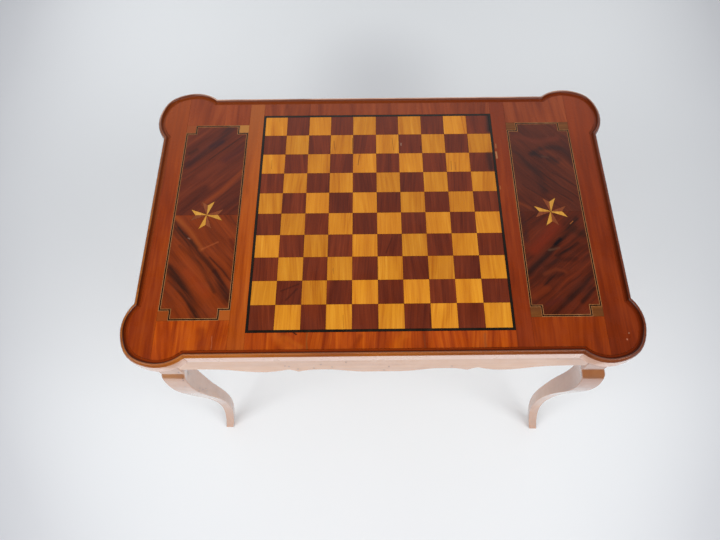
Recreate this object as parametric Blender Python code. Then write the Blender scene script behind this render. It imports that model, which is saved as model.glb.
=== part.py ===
"""Games table: a chequered lift-off top with four round ears, over a tric-trac well on cabriole legs."""

import math

import bmesh
import bpy
from mathutils import Matrix, Vector

# Overall sizes in metres: X along the table, Y to its back, Z up from the floor.
HEIGHT = 0.735
HALF_LENGTH = 0.449
HALF_DEPTH = 0.287
EAR_RADIUS = 0.0726
EAR_INSET = 0.0558
EAR_FULLNESS = 0.0025

# Clearances.
GAP = 0.0003
OVERRUN = 0.006

# The top: core, rim moulding and veneer.
TOP_THICK = 0.030
RIM_RISE = 0.005
RIM_WIDTH = 0.0135
BEAD_SPRING = 0.0022
QUIRK_WIDTH = 0.0052
QUIRK_DEPTH = 0.0016
VENEER = 0.002
BAIZE_THICK = 0.0012
BAIZE_MARGIN = 0.060

# The marquetry.
BAND_WIDTH = 0.031
BORDER_WIDTH = 0.0362
END_BAND_WIDTH = 0.0552
EBONY_LINE = 0.005
STRIP_WIDTH = 0.0297
LIGHT_STRING = 0.0012
DARK_STRING = 0.0022
SCORE_DEPTH = 0.0006
SCORE_TRIM = 0.0002
CORNER_SQUARE = 0.019
INLAY_SHIFT = -0.005
BOARD_LENGTH_SHARE = 0.987
CROSS_SPAN_SHARE = 0.479
CROSS_TIP_SHARES = (0.41, 1.0)
CROSS_NOTCH_SHARE = 0.71
CROSS_WAIST = 0.0016

# Joint lines of the board as shares of its half: columns from left to right, rows from back to front.
COLUMN_SHARES = (-1, -0.807, -0.608, -0.415, -0.217, -0.015, 0.184, 0.387, 0.590, 0.796, 1)
ROW_SHARES = (1, 0.800, 0.598, 0.401, 0.204, 0.006, -0.194, -0.395, -0.598, -0.799, -1)

# The stand: posts, legs and aprons.
END_OVERHANG = 0.0112
SIDE_OVERHANG = 0.0134
POST = 0.046
LEG_SWAY = 0.010
LEG_ARRIS = 0.0015
FOOT_LEAN = 0.011
FOOT_BLOCK = 0.022
FOOT_GROOVE = 0.0008
APRON_THICK = 0.020
APRON_END = 0.0945
SCALLOP = 0.0265
APRON_EASE = 0.0008

# Leg stations from the top down: height, outward sway and width, as shares of the leg's own sizes.
LEG_SHARES = (
    (1.000, 0.00, 1.000),
    (0.827, 0.00, 1.000),
    (0.823, 0.00, 1.000),
    (0.800, 0.46, 1.020),
    (0.775, 0.80, 1.000),
    (0.738, 0.99, 0.996),
    (0.712, 1.06, 0.993),
    (0.681, 1.04, 0.978),
    (0.646, 0.93, 0.960),
    (0.610, 0.72, 0.911),
    (0.539, 0.19, 0.787),
    (0.468, -0.31, 0.661),
    (0.397, -0.69, 0.580),
    (0.326, -0.90, 0.526),
    (0.255, -0.85, 0.498),
    (0.184, -0.45, 0.485),
    (0.114, 0.28, 0.476),
    (0.043, 1.25, 0.465),
    (0.000, 1.95, 0.457),
)
RINGS_BETWEEN = 2

# How full each knee is, and how far each foot stands back from the true corner, as shares of the sway and the lean.
KNEE_SHARES = {"front_left": 0.65, "front_right": 1.25, "back_left": 1.0, "back_right": 1.0}
KNEE_END_SHARE = 0.5
LEAN_SHARES = {"front_left": 1.0, "front_right": -0.26, "back_left": 0.0, "back_right": 0.0}

# Lower edge of an apron from its middle to the post: end of each run along it, depth there, and its curve.
SCALLOP_SHARES = (
    (0.090, 1.00, "level"),
    (0.284, 0.32, "wave"),
    (0.325, 0.32, "level"),
    (0.424, 0.83, "fall"),
    (0.472, 0.28, "settle"),
    (0.596, 0.91, "settle"),
    (0.850, 0.00, "wave"),
    (1.000, 0.00, "level"),
)
SCALLOP_STEPS = 6

# Mortise and tenon joints, and the pegs through them.
TENON_THICK = 0.008
TENON_SET = 0.006
TENON_APART = 0.004
TENON_HAUNCH = 0.014
TENON_FOOT = 0.010
PEG_RADIUS = 0.0032
PEG_BEYOND = 0.010
PEG_PROUD = 0.0004
PEG_HEIGHT_SHARES = (0.28, 0.72)

# Dowels that place the top.
DOWEL_RADIUS = 0.004
DOWEL_RISE = 0.008
DOWEL_SEAT = 0.018
DOWEL_PLAY = 0.0005

# The tric-trac well.
BOTTOM_THICK = 0.008
BOTTOM_COVER = 0.012
BOTTOM_TONGUE = 0.006
RAIL_THICK = 0.014
PARTITION_THICK = 0.010
COMPARTMENT = 0.088
BAR_WIDTH = 0.012
BAR_DROP = 0.006
HOUSING = 0.003
WELL_VENEER = 0.002
POINTS_IN_ROW = 6
POINT_SPACE = 0.003
POINTS_APART = 0.081
SCORE_HOLE_RADIUS = 0.002
SCORE_HOLE_DEPTH = 0.012
END_HOLE_SHARES = (-0.82, 0.0, 0.82)

# Counts of faces round curves.
EAR_STEPS = 20
BEAD_STEPS = 8
PEG_SIDES = 10
HOLE_SIDES = 8
DOWEL_SIDES = 12

# Sizes worked out from those above.
FIELD = HEIGHT - RIM_RISE
TOP_BOTTOM = HEIGHT - TOP_THICK
CORE_TOP = FIELD - VENEER - GAP
STAND_TOP = TOP_BOTTOM - GAP
EAR_X = HALF_LENGTH - EAR_INSET
EAR_Y = HALF_DEPTH - EAR_INSET
FACE_X = HALF_LENGTH - END_OVERHANG
FACE_Y = HALF_DEPTH - SIDE_OVERHANG
POST_X = FACE_X - POST / 2
POST_Y = FACE_Y - POST / 2
SPAN_X = FACE_X - POST
SPAN_Y = FACE_Y - POST
INNER_X = FACE_X - APRON_THICK
INNER_Y = FACE_Y - APRON_THICK
WELL_DEPTH = APRON_END - BOTTOM_THICK - BOTTOM_COVER
WELL_FLOOR = STAND_TOP - WELL_DEPTH
RAIL_Y = INNER_Y - GAP - RAIL_THICK
POINT_LENGTH = RAIL_Y - POINTS_APART / 2
PARTITION_X = INNER_X - COMPARTMENT - PARTITION_THICK
TENON_LENGTH = POST - TENON_SET - TENON_THICK - TENON_APART
PEG_LENGTH = TENON_SET + TENON_THICK + PEG_BEYOND
PEG_IN = TENON_LENGTH / 2
TENON_TOP = STAND_TOP - TENON_HAUNCH
TENON_BOTTOM = STAND_TOP - APRON_END + TENON_FOOT
BEAD_WIDTH = RIM_WIDTH - QUIRK_WIDTH
VENEER_Y = HALF_DEPTH - RIM_WIDTH
LINED_HALF = VENEER_Y - BAND_WIDTH
BOARD_HALF = LINED_HALF - EBONY_LINE
BOARD_LONG = BOARD_LENGTH_SHARE * BOARD_HALF
LINED_LONG = BOARD_LONG + EBONY_LINE
STRIP_EDGE = LINED_LONG + STRIP_WIDTH
STRINGS = 2 * LIGHT_STRING + DARK_STRING
PANEL_EDGE = HALF_LENGTH - RIM_WIDTH - BORDER_WIDTH
PANEL_WIDTH = PANEL_EDGE - STRIP_EDGE
PANEL_DEPTH = 2 * (VENEER_Y - END_BAND_WIDTH)
PANEL_MIDDLE = (STRIP_EDGE + PANEL_EDGE) / 2
CROSS_SPAN = CROSS_SPAN_SHARE * PANEL_WIDTH

CORNERS = (("front_left", -1, -1), ("front_right", 1, -1), ("back_left", -1, 1), ("back_right", 1, 1))


def clear_scene():
    for thing in list(bpy.data.objects):
        bpy.data.objects.remove(thing)


def wood(name, red, green, blue, roughness, metallic=0.0):
    """A material with the colour given as 0 to 255 on the screen's scale."""
    made = bpy.data.materials.new(name)
    made.use_nodes = True
    shader = made.node_tree.nodes["Principled BSDF"]
    levels = [((level / 255 + 0.055) / 1.055) ** 2.4 for level in (red, green, blue)]
    shader.inputs["Base Color"].default_value = (*levels, 1.0)
    shader.inputs["Roughness"].default_value = roughness
    shader.inputs["Metallic"].default_value = metallic
    made.diffuse_color = (*levels, 1.0)
    return made


def empty(name, place):
    made = bpy.data.objects.new(name, None)
    made.location = place
    bpy.context.scene.collection.objects.link(made)
    return made


def body(name, shape, origin, parent, material, smooth_angle=None):
    """An object from a shape given in world places, with its own origin, under its parent empty."""
    bmesh.ops.translate(shape, verts=shape.verts, vec=-Vector(origin))
    mesh = bpy.data.meshes.new(name)
    shape.to_mesh(mesh)
    shape.free()
    made = bpy.data.objects.new(name, mesh)
    bpy.context.scene.collection.objects.link(made)
    if parent:
        made.parent = parent
        made.location = Vector(origin) - parent.location
    else:
        made.location = origin
    if material:
        mesh.materials.append(material)
    if smooth_angle:
        mesh.shade_smooth()
        mesh.set_sharp_from_angle(angle=math.radians(smooth_angle))
    return made


def tool(target, shape, operation, label, materials=()):
    """Cuts the shape from the target or joins it on, with a hidden helper object."""
    helper = body(target.name + "_" + label, shape, (0, 0, 0), None, None)
    for material in materials:
        helper.data.materials.append(material)
    helper.hide_render = True
    helper.display_type = "WIRE"
    change = target.modifiers.new(label, "BOOLEAN")
    change.operation = operation
    change.object = helper
    change.solver = "EXACT"
    change.material_mode = "TRANSFER" if materials else "INDEX"


def add_prism(shape, points, low, high, slot=0):
    lower = [shape.verts.new((x, y, low)) for x, y in points]
    upper = [shape.verts.new((x, y, high)) for x, y in points]
    faces = [shape.faces.new(lower[::-1]), shape.faces.new(upper)]
    for at, corner in enumerate(lower):
        after = (at + 1) % len(points)
        faces.append(shape.faces.new((corner, lower[after], upper[after], upper[at])))
    for face in faces:
        face.material_index = slot


def prism(points, low, high):
    shape = bmesh.new()
    add_prism(shape, points, low, high)
    return shape


def add_box(shape, low, high):
    add_prism(shape, rectangle(low[0], low[1], high[0], high[1]), low[2], high[2])


def box(low, high):
    shape = bmesh.new()
    add_box(shape, low, high)
    return shape


def add_rod(shape, start, end, radius, sides):
    """A round rod or a round cutter between two places."""
    start = Vector(start)
    way = Vector(end) - start
    turn = way.to_track_quat("Z", "Y").to_matrix().to_4x4()
    middle = Matrix.Translation(start + way / 2)
    bmesh.ops.create_cone(
        shape,
        cap_ends=True,
        segments=sides,
        radius1=radius,
        radius2=radius,
        depth=way.length,
        matrix=middle @ turn,
    )


def loft(rings):
    """A closed skin through rings of points, capped at both ends."""
    shape = bmesh.new()
    rows = [[shape.verts.new(point) for point in ring] for ring in rings]
    for row, after in zip(rows, rows[1:]):
        for at, corner in enumerate(row):
            turn = (at + 1) % len(row)
            shape.faces.new((corner, row[turn], after[turn], after[at]))
    shape.faces.new(rows[0][::-1])
    shape.faces.new(rows[-1])
    bmesh.ops.recalc_face_normals(shape, faces=shape.faces)
    return shape


def rectangle(left, front, right, back):
    return [(left, front), (right, front), (right, back), (left, back)]


def inset(points, distance):
    """The outline moved inwards with mitred corners, or outwards for a negative distance."""
    spots = [Vector(point) for point in points]
    moved = []
    for before, here, after in zip(spots[-1:] + spots[:-1], spots, spots[1:] + spots[:1]):
        first = (here - before).normalized()
        second = (after - here).normalized()
        inward = Vector((-first.y, first.x))
        mitre = (inward + Vector((-second.y, second.x))).normalized()
        moved.append(tuple(here + mitre * distance / mitre.dot(inward)))
    return moved


def fitted(points):
    """The outline of a piece that keeps half a joint's clearance on every side."""
    return inset(points, GAP / 2)


def ear_corner(depth):
    """Where the ear's arc meets the straight edges, both moved in by the same depth."""
    radius = EAR_RADIUS - depth
    along = EAR_X - math.sqrt(radius**2 - (EAR_INSET - depth) ** 2)
    across = EAR_Y - math.sqrt(radius**2 - (EAR_INSET - depth) ** 2)
    return along, across


def ear_angles(depth):
    """Start and end of the front right ear's arc, seen from its centre."""
    along, across = ear_corner(depth)
    start = math.atan2(depth - EAR_INSET, along - EAR_X)
    end = math.atan2(EAR_Y - across, EAR_INSET - depth)
    return start, end


def ear_reach(angle):
    """The ear's radius, a little fuller towards the table's corner than at its sides."""
    return EAR_RADIUS + EAR_FULLNESS * max(0, -math.sin(2 * angle)) ** 4


def ear_point(depth, angle, side, end):
    radius = ear_reach(angle) - depth
    x = EAR_X + radius * math.cos(angle)
    y = -EAR_Y + radius * math.sin(angle)
    return side * x, -end * y


def ear_arc(depth, side, end):
    """The ear's arc in the order that runs anticlockwise round the top."""
    start, stop = ear_angles(depth)
    angles = [start + (stop - start) * step / EAR_STEPS for step in range(EAR_STEPS + 1)]
    points = [ear_point(depth, angle, side, end) for angle in angles]
    return points if side * end < 0 else points[::-1]


def top_outline(depth):
    outline = []
    for side, end in ((1, -1), (1, 1), (-1, 1), (-1, -1)):
        outline += ear_arc(depth, side, end)
    return outline


def rim_profile():
    """The moulding's section: depth in from the outer edge, and height."""
    section = [(0, TOP_BOTTOM)]
    spring = FIELD - BEAD_SPRING
    for step in range(BEAD_STEPS + 1):
        angle = math.pi * (1 - step / BEAD_STEPS)
        across = BEAD_WIDTH / 2 * (1 + math.cos(angle))
        section.append((across, spring + (RIM_RISE + BEAD_SPRING) * math.sin(angle)))
    section[-1] = (BEAD_WIDTH, FIELD - QUIRK_DEPTH)
    section.append((RIM_WIDTH - GAP / 2, FIELD - QUIRK_DEPTH))
    section.append((RIM_WIDTH - GAP / 2, TOP_BOTTOM))
    return section


def ear_rims(parent, material):
    for name, side, end in CORNERS:
        rings = []
        for step in range(EAR_STEPS + 1):
            ring = []
            for depth, height in rim_profile():
                start, stop = ear_angles(depth)
                spare = GAP / (EAR_RADIUS - depth)
                angle = start + spare + (stop - start - 2 * spare) * step / EAR_STEPS
                ring.append((*ear_point(depth, angle, side, end), height))
            rings.append(ring)
        origin = (side * EAR_X, end * EAR_Y, TOP_BOTTOM)
        body("rim_ear_" + name, loft(rings), origin, parent, material, 40)


def straight_rims(parent, material):
    for name, end in (("front", -1), ("back", 1)):
        rings = []
        for side in (-1, 1):
            ring = []
            for depth, height in rim_profile():
                along = ear_corner(depth)[0]
                ring.append((side * along, end * (HALF_DEPTH - depth), height))
            rings.append(ring)
        body("rim_" + name, loft(rings), (0, end * HALF_DEPTH, TOP_BOTTOM), parent, material, 40)
    for name, side in (("left", -1), ("right", 1)):
        rings = []
        for end in (-1, 1):
            ring = []
            for depth, height in rim_profile():
                across = ear_corner(depth)[1]
                ring.append((side * (HALF_LENGTH - depth), end * across, height))
            rings.append(ring)
        body("rim_" + name, loft(rings), (side * HALF_LENGTH, 0, TOP_BOTTOM), parent, material, 40)


def top_core(parent, material, baize, corner_wood):
    """The solid board under the veneer. The panels' corner squares are fused to it and reach the surface."""
    core = body(
        "top_core",
        prism(top_outline(RIM_WIDTH + GAP / 2), TOP_BOTTOM, CORE_TOP),
        (0, 0, TOP_BOTTOM),
        parent,
        material,
    )
    half_x = HALF_LENGTH - BAIZE_MARGIN
    half_y = HALF_DEPTH - BAIZE_MARGIN
    recess = box(
        (-half_x, -half_y, TOP_BOTTOM - OVERRUN),
        (half_x, half_y, TOP_BOTTOM + BAIZE_THICK + GAP),
    )
    tool(core, recess, "DIFFERENCE", "recess")
    holes = bmesh.new()
    for _, side, end in CORNERS:
        low = (side * POST_X, end * POST_Y, TOP_BOTTOM - OVERRUN)
        high = (side * POST_X, end * POST_Y, STAND_TOP + DOWEL_RISE + GAP)
        add_rod(holes, low, high, DOWEL_RADIUS + DOWEL_PLAY, DOWEL_SIDES)
    tool(core, holes, "DIFFERENCE", "dowel_holes")
    tool(core, corner_squares(), "UNION", "corner_squares", (corner_wood,))
    cloth = inset(rectangle(-half_x, -half_y, half_x, half_y), GAP)
    body(
        "baize_lining",
        prism(cloth, TOP_BOTTOM, TOP_BOTTOM + BAIZE_THICK),
        (0, 0, TOP_BOTTOM),
        parent,
        baize,
    )


def veneer(name, points, parent, material):
    """A flush piece of the layer on the core."""
    across = [x for x, _ in points]
    along = [y for _, y in points]
    origin = ((min(across) + max(across)) / 2, (min(along) + max(along)) / 2, FIELD)
    return body(name, prism(fitted(points), FIELD - VENEER, FIELD), origin, parent, material)


def scored(name, outline, pieces, low, high, parent, materials):
    """Thin pieces laid side by side on one backing, with an open joint line between them."""
    backing = prism(inset(outline, GAP / 2 + SCORE_TRIM), low, high - SCORE_DEPTH)
    across = [x for x, _ in outline]
    along = [y for _, y in outline]
    origin = ((min(across) + max(across)) / 2, (min(along) + max(along)) / 2, low)
    made = body(name, backing, origin, parent, materials[0])
    laid = bmesh.new()
    for points, slot in pieces:
        add_prism(laid, fitted(points), low + SCORE_TRIM, high, slot)
    tool(made, laid, "UNION", "pieces", materials)
    return made


def board_row(row, parent, light, dark):
    """One row of ten squares, glued up edge to edge, with a joint line cut between each two."""
    columns = [INLAY_SHIFT + share * BOARD_LONG for share in COLUMN_SHARES]
    back, front = [share * BOARD_HALF for share in ROW_SHARES[row : row + 2]]
    line = GAP / 2
    left = columns[0] + line
    right = columns[-1] - line
    profile = [(left, FIELD - VENEER), (right, FIELD - VENEER), (right, FIELD)]
    for x in columns[-2:0:-1]:
        profile += [(x + line, FIELD), (x, FIELD - SCORE_DEPTH), (x - line, FIELD)]
    profile.append((left, FIELD))
    rings = []
    for y in (front + line, back - line):
        rings.append([(x, y, z) for x, z in profile])
    shape = loft(rings)
    for face in shape.faces:
        middle = face.calc_center_median().x
        column = sum(middle > x for x in columns[1:-1])
        face.material_index = (column + row) % 2
    origin = (INLAY_SHIFT, (front + back) / 2, FIELD)
    made = body(f"board_row_{row + 1:02d}", shape, origin, parent, light)
    made.data.materials.append(dark)


def chequer(parent, light, dark):
    """Rows from the back to the front; the far left square is light."""
    for row in range(len(ROW_SHARES) - 1):
        board_row(row, parent, light, dark)


def ebony_line(parent, material):
    """A dark line mitred round the board."""
    shape = bmesh.new()
    outer = rectangle(-LINED_LONG, -LINED_HALF, LINED_LONG, LINED_HALF)
    inner = rectangle(-BOARD_LONG, -BOARD_HALF, BOARD_LONG, BOARD_HALF)
    outer = [(x + INLAY_SHIFT, y) for x, y in inset(outer, GAP / 2)]
    inner = [(x + INLAY_SHIFT, y) for x, y in inset(inner, -GAP / 2)]
    ring_between(shape, outer, inner)
    body("ebony_line", shape, (INLAY_SHIFT, 0, FIELD), parent, material)


def notched(half_x, half_y, middle):
    """A panel's outline with a square notch at each corner."""
    notch = CORNER_SQUARE
    quarter = [(half_x - notch, half_y), (half_x - notch, half_y - notch), (half_x, half_y - notch)]
    right_back = quarter[::-1]
    left_back = [(-x, y) for x, y in quarter]
    left_front = [(-x, -y) for x, y in right_back]
    right_front = [(x, -y) for x, y in quarter]
    return [(x + middle, y) for x, y in right_back + left_back + left_front + right_front]


def ring_between(shape, outer, inner):
    rows = []
    for points, height in ((outer, FIELD), (outer, FIELD - VENEER), (inner, FIELD - VENEER), (inner, FIELD)):
        rows.append([shape.verts.new((x, y, height)) for x, y in points])
    for row, after in zip(rows, rows[1:] + rows[:1]):
        for at, corner in enumerate(row):
            turn = (at + 1) % len(row)
            shape.faces.new((corner, after[at], after[turn], row[turn]))


def stringing(name, middle, parent, light, dark):
    """Three fine lines that step round the panel: light, dark and light."""
    start = 0
    for place, width, material in (
        ("outer", LIGHT_STRING, light),
        ("dark", DARK_STRING, dark),
        ("inner", LIGHT_STRING, light),
    ):
        out = start + GAP / 2
        back = start + width - GAP / 2
        start += width
        shape = bmesh.new()
        outer = notched(PANEL_WIDTH / 2 - out, PANEL_DEPTH / 2 - out, middle)
        inner = notched(PANEL_WIDTH / 2 - back, PANEL_DEPTH / 2 - back, middle)
        ring_between(shape, outer, inner)
        body(f"stringing_{name}_{place}", shape, (middle, 0, FIELD), parent, material)


def cross_arm(turn):
    """One arm of the cross: right valley, right tip, notch, left tip and left valley, turned by quarters."""
    tip_x = CROSS_TIP_SHARES[0] * CROSS_SPAN / 2
    tip_y = CROSS_TIP_SHARES[1] * CROSS_SPAN / 2
    notch = CROSS_NOTCH_SHARE * CROSS_SPAN / 2
    valley = CROSS_WAIST
    arm = [(valley, valley), (tip_x, tip_y), (0, notch), (-tip_x, tip_y), (-valley, valley)]
    angle = Matrix.Rotation(turn * math.pi / 2, 2)
    return [angle @ Vector(point) for point in arm]


def cross_outline(middle):
    star = []
    for turn in range(4):
        star += cross_arm(turn)[:4]
    return [(point.x + middle, point.y) for point in star]


def cross(name, middle, parent, light, dark):
    """A cross of eight facets, light and dark by turns, on one backing."""
    centre = (middle, 0)
    facets = []
    for turn in range(4):
        arm = [(point.x + middle, point.y) for point in cross_arm(turn)]
        facets.append(([centre] + arm[:3], 0))
        facets.append(([centre] + arm[2:], 1))
    outline = cross_outline(middle)
    scored("cross_" + name, outline, facets, FIELD - VENEER, FIELD, parent, (light, dark))


def panel(name, middle, parent, material):
    """Two leaves of figured veneer, joined across the middle, that open for the cross."""
    outline = notched(PANEL_WIDTH / 2 - STRINGS, PANEL_DEPTH / 2 - STRINGS, middle)
    back = outline[:6]
    front = outline[6:]
    left = middle - PANEL_WIDTH / 2 + STRINGS
    right = middle + PANEL_WIDTH / 2 - STRINGS
    leaves = {"back": [(right, 0)] + back + [(left, 0)], "front": [(left, 0)] + front + [(right, 0)]}
    for end, points in leaves.items():
        leaf = veneer(f"panel_{name}_{end}", points, parent, material)
        star = prism(inset(cross_outline(middle), -GAP / 2), FIELD - VENEER - OVERRUN, FIELD + OVERRUN)
        tool(leaf, star, "DIFFERENCE", "cross")


def corner_squares():
    """Eight small squares in the panels' notches, standing on the core."""
    shape = bmesh.new()
    half = CORNER_SQUARE / 2
    for panel_side in (-1, 1):
        middle = INLAY_SHIFT + panel_side * PANEL_MIDDLE
        for side in (-1, 1):
            for end in (-1, 1):
                x = middle + side * (PANEL_WIDTH / 2 - half)
                y = end * (PANEL_DEPTH / 2 - half)
                points = fitted(rectangle(x - half, y - half, x + half, y + half))
                add_prism(shape, points, CORE_TOP - VENEER, FIELD)
    return shape


def edge_y(x, end):
    """The veneer's edge at the rim, front or back, for a place along the table."""
    corner = ear_corner(RIM_WIDTH)[0]
    if abs(x) <= corner:
        return end * VENEER_Y
    angle = -math.acos((abs(x) - EAR_X) / (EAR_RADIUS - RIM_WIDTH))
    radius = ear_reach(angle) - RIM_WIDTH
    return end * (EAR_Y + math.sqrt(radius**2 - (abs(x) - EAR_X) ** 2))


def end_band(start, stop, inner_y, end):
    """A cross-grained band between a panel and the rim, that follows the ear."""
    steps = [start + (stop - start) * step / EAR_STEPS for step in range(EAR_STEPS + 1)]
    corner = math.copysign(ear_corner(RIM_WIDTH)[0], start)
    if min(steps) < corner < max(steps):
        steps.append(corner)
    steps.sort()
    edge = [(x, edge_y(x, end)) for x in steps]
    low, high = steps[0], steps[-1]
    if end < 0:
        return edge + [(high, end * inner_y), (low, end * inner_y)]
    return [(low, end * inner_y), (high, end * inner_y)] + edge[::-1]


def side_border(side, inner_x):
    """The border outside a panel, from ear to ear."""
    chain = ear_arc(RIM_WIDTH, side, -side) + ear_arc(RIM_WIDTH, side, side)
    beyond = [point for point in chain if side * point[0] > side * inner_x + GAP]
    first = (inner_x, edge_y(inner_x, -side))
    last = (inner_x, edge_y(inner_x, side))
    return [first] + beyond + [last]


def bands(parent, border, band, strip):
    inner_y = PANEL_DEPTH / 2
    for name, side in (("left", -1), ("right", 1)):
        outer = INLAY_SHIFT + side * PANEL_EDGE
        inner = INLAY_SHIFT + side * STRIP_EDGE
        lined = INLAY_SHIFT + side * LINED_LONG
        veneer("border_" + name, side_border(side, outer), parent, border)
        for end_name, end in (("front", -1), ("back", 1)):
            piece = end_band(min(outer, inner), max(outer, inner), inner_y, end)
            veneer(f"band_{end_name}_{name}", piece, parent, band)
        near, far = sorted((inner, lined))
        veneer("strip_" + name, rectangle(near, -VENEER_Y, far, VENEER_Y), parent, strip)
    left = INLAY_SHIFT - LINED_LONG
    right = INLAY_SHIFT + LINED_LONG
    veneer("band_front_middle", rectangle(left, -VENEER_Y, right, -LINED_HALF), parent, band)
    veneer("band_back_middle", rectangle(left, LINED_HALF, right, VENEER_Y), parent, band)


def shape_at(height_share):
    """The leg's sway and width shares at a height, on a smooth curve through the stations."""
    table = LEG_SHARES[::-1]
    at = next(n for n in range(len(table) - 1) if height_share <= table[n + 1][0])
    low, high = table[at], table[at + 1]
    before = table[max(at - 1, 0)]
    after = table[min(at + 2, len(table) - 1)]
    step = high[0] - low[0]
    part = (height_share - low[0]) / step
    values = []
    for column in (1, 2):
        slope_low = (high[column] - before[column]) / (high[0] - before[0]) * step
        slope_high = (after[column] - low[column]) / (after[0] - low[0]) * step
        rise = high[column] - low[column]
        curve = (slope_low + slope_high - 2 * rise) * part + 3 * rise - 2 * slope_low - slope_high
        values.append(low[column] + (curve * part + slope_low) * part)
    return values


def leg_heights():
    heights = [station[0] for station in LEG_SHARES]
    shares = {heights[0], heights[1]}
    for high, low in zip(heights[1:], heights[2:]):
        for step in range(1, RINGS_BETWEEN + 1):
            shares.add(high + (low - high) * step / RINGS_BETWEEN)
    levels = [STAND_TOP * share for share in shares if STAND_TOP * share > FOOT_BLOCK + 2 * FOOT_GROOVE]
    return sorted(levels, reverse=True)


def leg_ring(height, trim, side, end, lean, knee):
    """A square section with its arrises taken off, set back below the aprons by the leg's lean."""
    sway, width = shape_at(height / STAND_TOP)
    if sway > 0 and height > STAND_TOP * KNEE_END_SHARE:
        sway *= knee
    below = max(0, 1 - height / (STAND_TOP - APRON_END))
    middle_x = side * (POST_X + sway * LEG_SWAY)
    middle_y = end * (POST_Y + sway * LEG_SWAY) + lean * below**2
    half = width * POST / 2 - trim
    arris = LEG_ARRIS * width
    flat = half - arris
    corners = ((half, flat), (flat, half), (-flat, half), (-half, flat))
    ring = list(corners) + [(-x, -y) for x, y in corners]
    return [(middle_x + x, middle_y + y, height) for x, y in ring]


def legs(parent, material, peg_wood):
    """Posts and cabriole legs in one, with the pegs of their joints and the dowel that places the top."""
    for name, side, end in CORNERS:
        lean = LEAN_SHARES[name] * FOOT_LEAN
        levels = [(height, 0) for height in leg_heights()]
        levels.append((FOOT_BLOCK + FOOT_GROOVE, 0))
        levels.append((FOOT_BLOCK + FOOT_GROOVE / 2, FOOT_GROOVE))
        levels.append((FOOT_BLOCK, FOOT_GROOVE / 2))
        levels.append((FOOT_GROOVE, FOOT_GROOVE / 2))
        levels.append((0, FOOT_GROOVE))
        rings = [leg_ring(height, trim, side, end, lean, KNEE_SHARES[name]) for height, trim in levels]
        leg = body("leg_" + name, loft(rings), (side * POST_X, end * POST_Y, 0), parent, material, 35)
        tool(leg, mortises(side, end), "DIFFERENCE", "mortises")
        tool(leg, peg_rods(side, end), "UNION", "pegs", (peg_wood,))


def mortises(side, end):
    """Two blind slots for the tenons of the aprons that meet at a post."""
    shape = bmesh.new()
    low_z = TENON_BOTTOM - GAP
    high_z = TENON_TOP + GAP
    outer = end * (FACE_Y - TENON_SET + GAP)
    inner = end * (FACE_Y - TENON_SET - TENON_THICK - GAP)
    near, far = sorted((outer, inner))
    left, right = sorted((side * (SPAN_X - OVERRUN), side * (SPAN_X + TENON_LENGTH + GAP)))
    add_box(shape, (left, near, low_z), (right, far, high_z))
    outer = side * (FACE_X - TENON_SET + GAP)
    inner = side * (FACE_X - TENON_SET - TENON_THICK - GAP)
    left, right = sorted((outer, inner))
    near, far = sorted((end * (SPAN_Y - OVERRUN), end * (SPAN_Y + TENON_LENGTH + GAP)))
    add_box(shape, (left, near, low_z), (right, far, high_z))
    return shape


def peg_places(side, end):
    """Start and inward way of each peg of one post, on its two outer faces."""
    places = []
    for share in PEG_HEIGHT_SHARES:
        height = TENON_BOTTOM + share * (TENON_TOP - TENON_BOTTOM)
        places.append(((side * (SPAN_X + PEG_IN), end * FACE_Y, height), (0, -end, 0)))
        places.append(((side * FACE_X, end * (SPAN_Y + PEG_IN), height), (-side, 0, 0)))
    return places


def peg_rods(side, end):
    """The pegs through the tenons, their heads a little proud, and the dowel on the post's top."""
    shape = bmesh.new()
    for start, way in peg_places(side, end):
        start = Vector(start)
        way = Vector(way)
        add_rod(shape, start - way * PEG_PROUD, start + way * PEG_LENGTH, PEG_RADIUS, PEG_SIDES)
    low = (side * POST_X, end * POST_Y, STAND_TOP - DOWEL_SEAT)
    high = (side * POST_X, end * POST_Y, STAND_TOP + DOWEL_RISE)
    add_rod(shape, low, high, DOWEL_RADIUS, DOWEL_SIDES)
    return shape


def curve_part(kind, part):
    if kind == "wave":
        return (1 - math.cos(math.pi * part)) / 2
    if kind == "fall":
        return 1 - math.cos(math.pi * part / 2)
    if kind == "settle":
        return math.sin(math.pi * part / 2)
    return part


def scallop_half():
    """Half of an apron's lower edge, as shares along it and down it."""
    points = [(0, SCALLOP_SHARES[0][1])]
    for stop, depth, kind in SCALLOP_SHARES:
        start, before = points[-1]
        steps = 1 if kind == "level" else SCALLOP_STEPS
        for step in range(1, steps + 1):
            part = step / steps
            rise = before + (depth - before) * curve_part(kind, part)
            points.append((start + (stop - start) * part, rise))
    return points


def apron_outline(span):
    half = [(share * span, -APRON_END - depth * SCALLOP) for share, depth in scallop_half()]
    left = [(-x, z) for x, z in half[:0:-1]]
    return left + half + [(span, 0), (-span, 0)]


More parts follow.
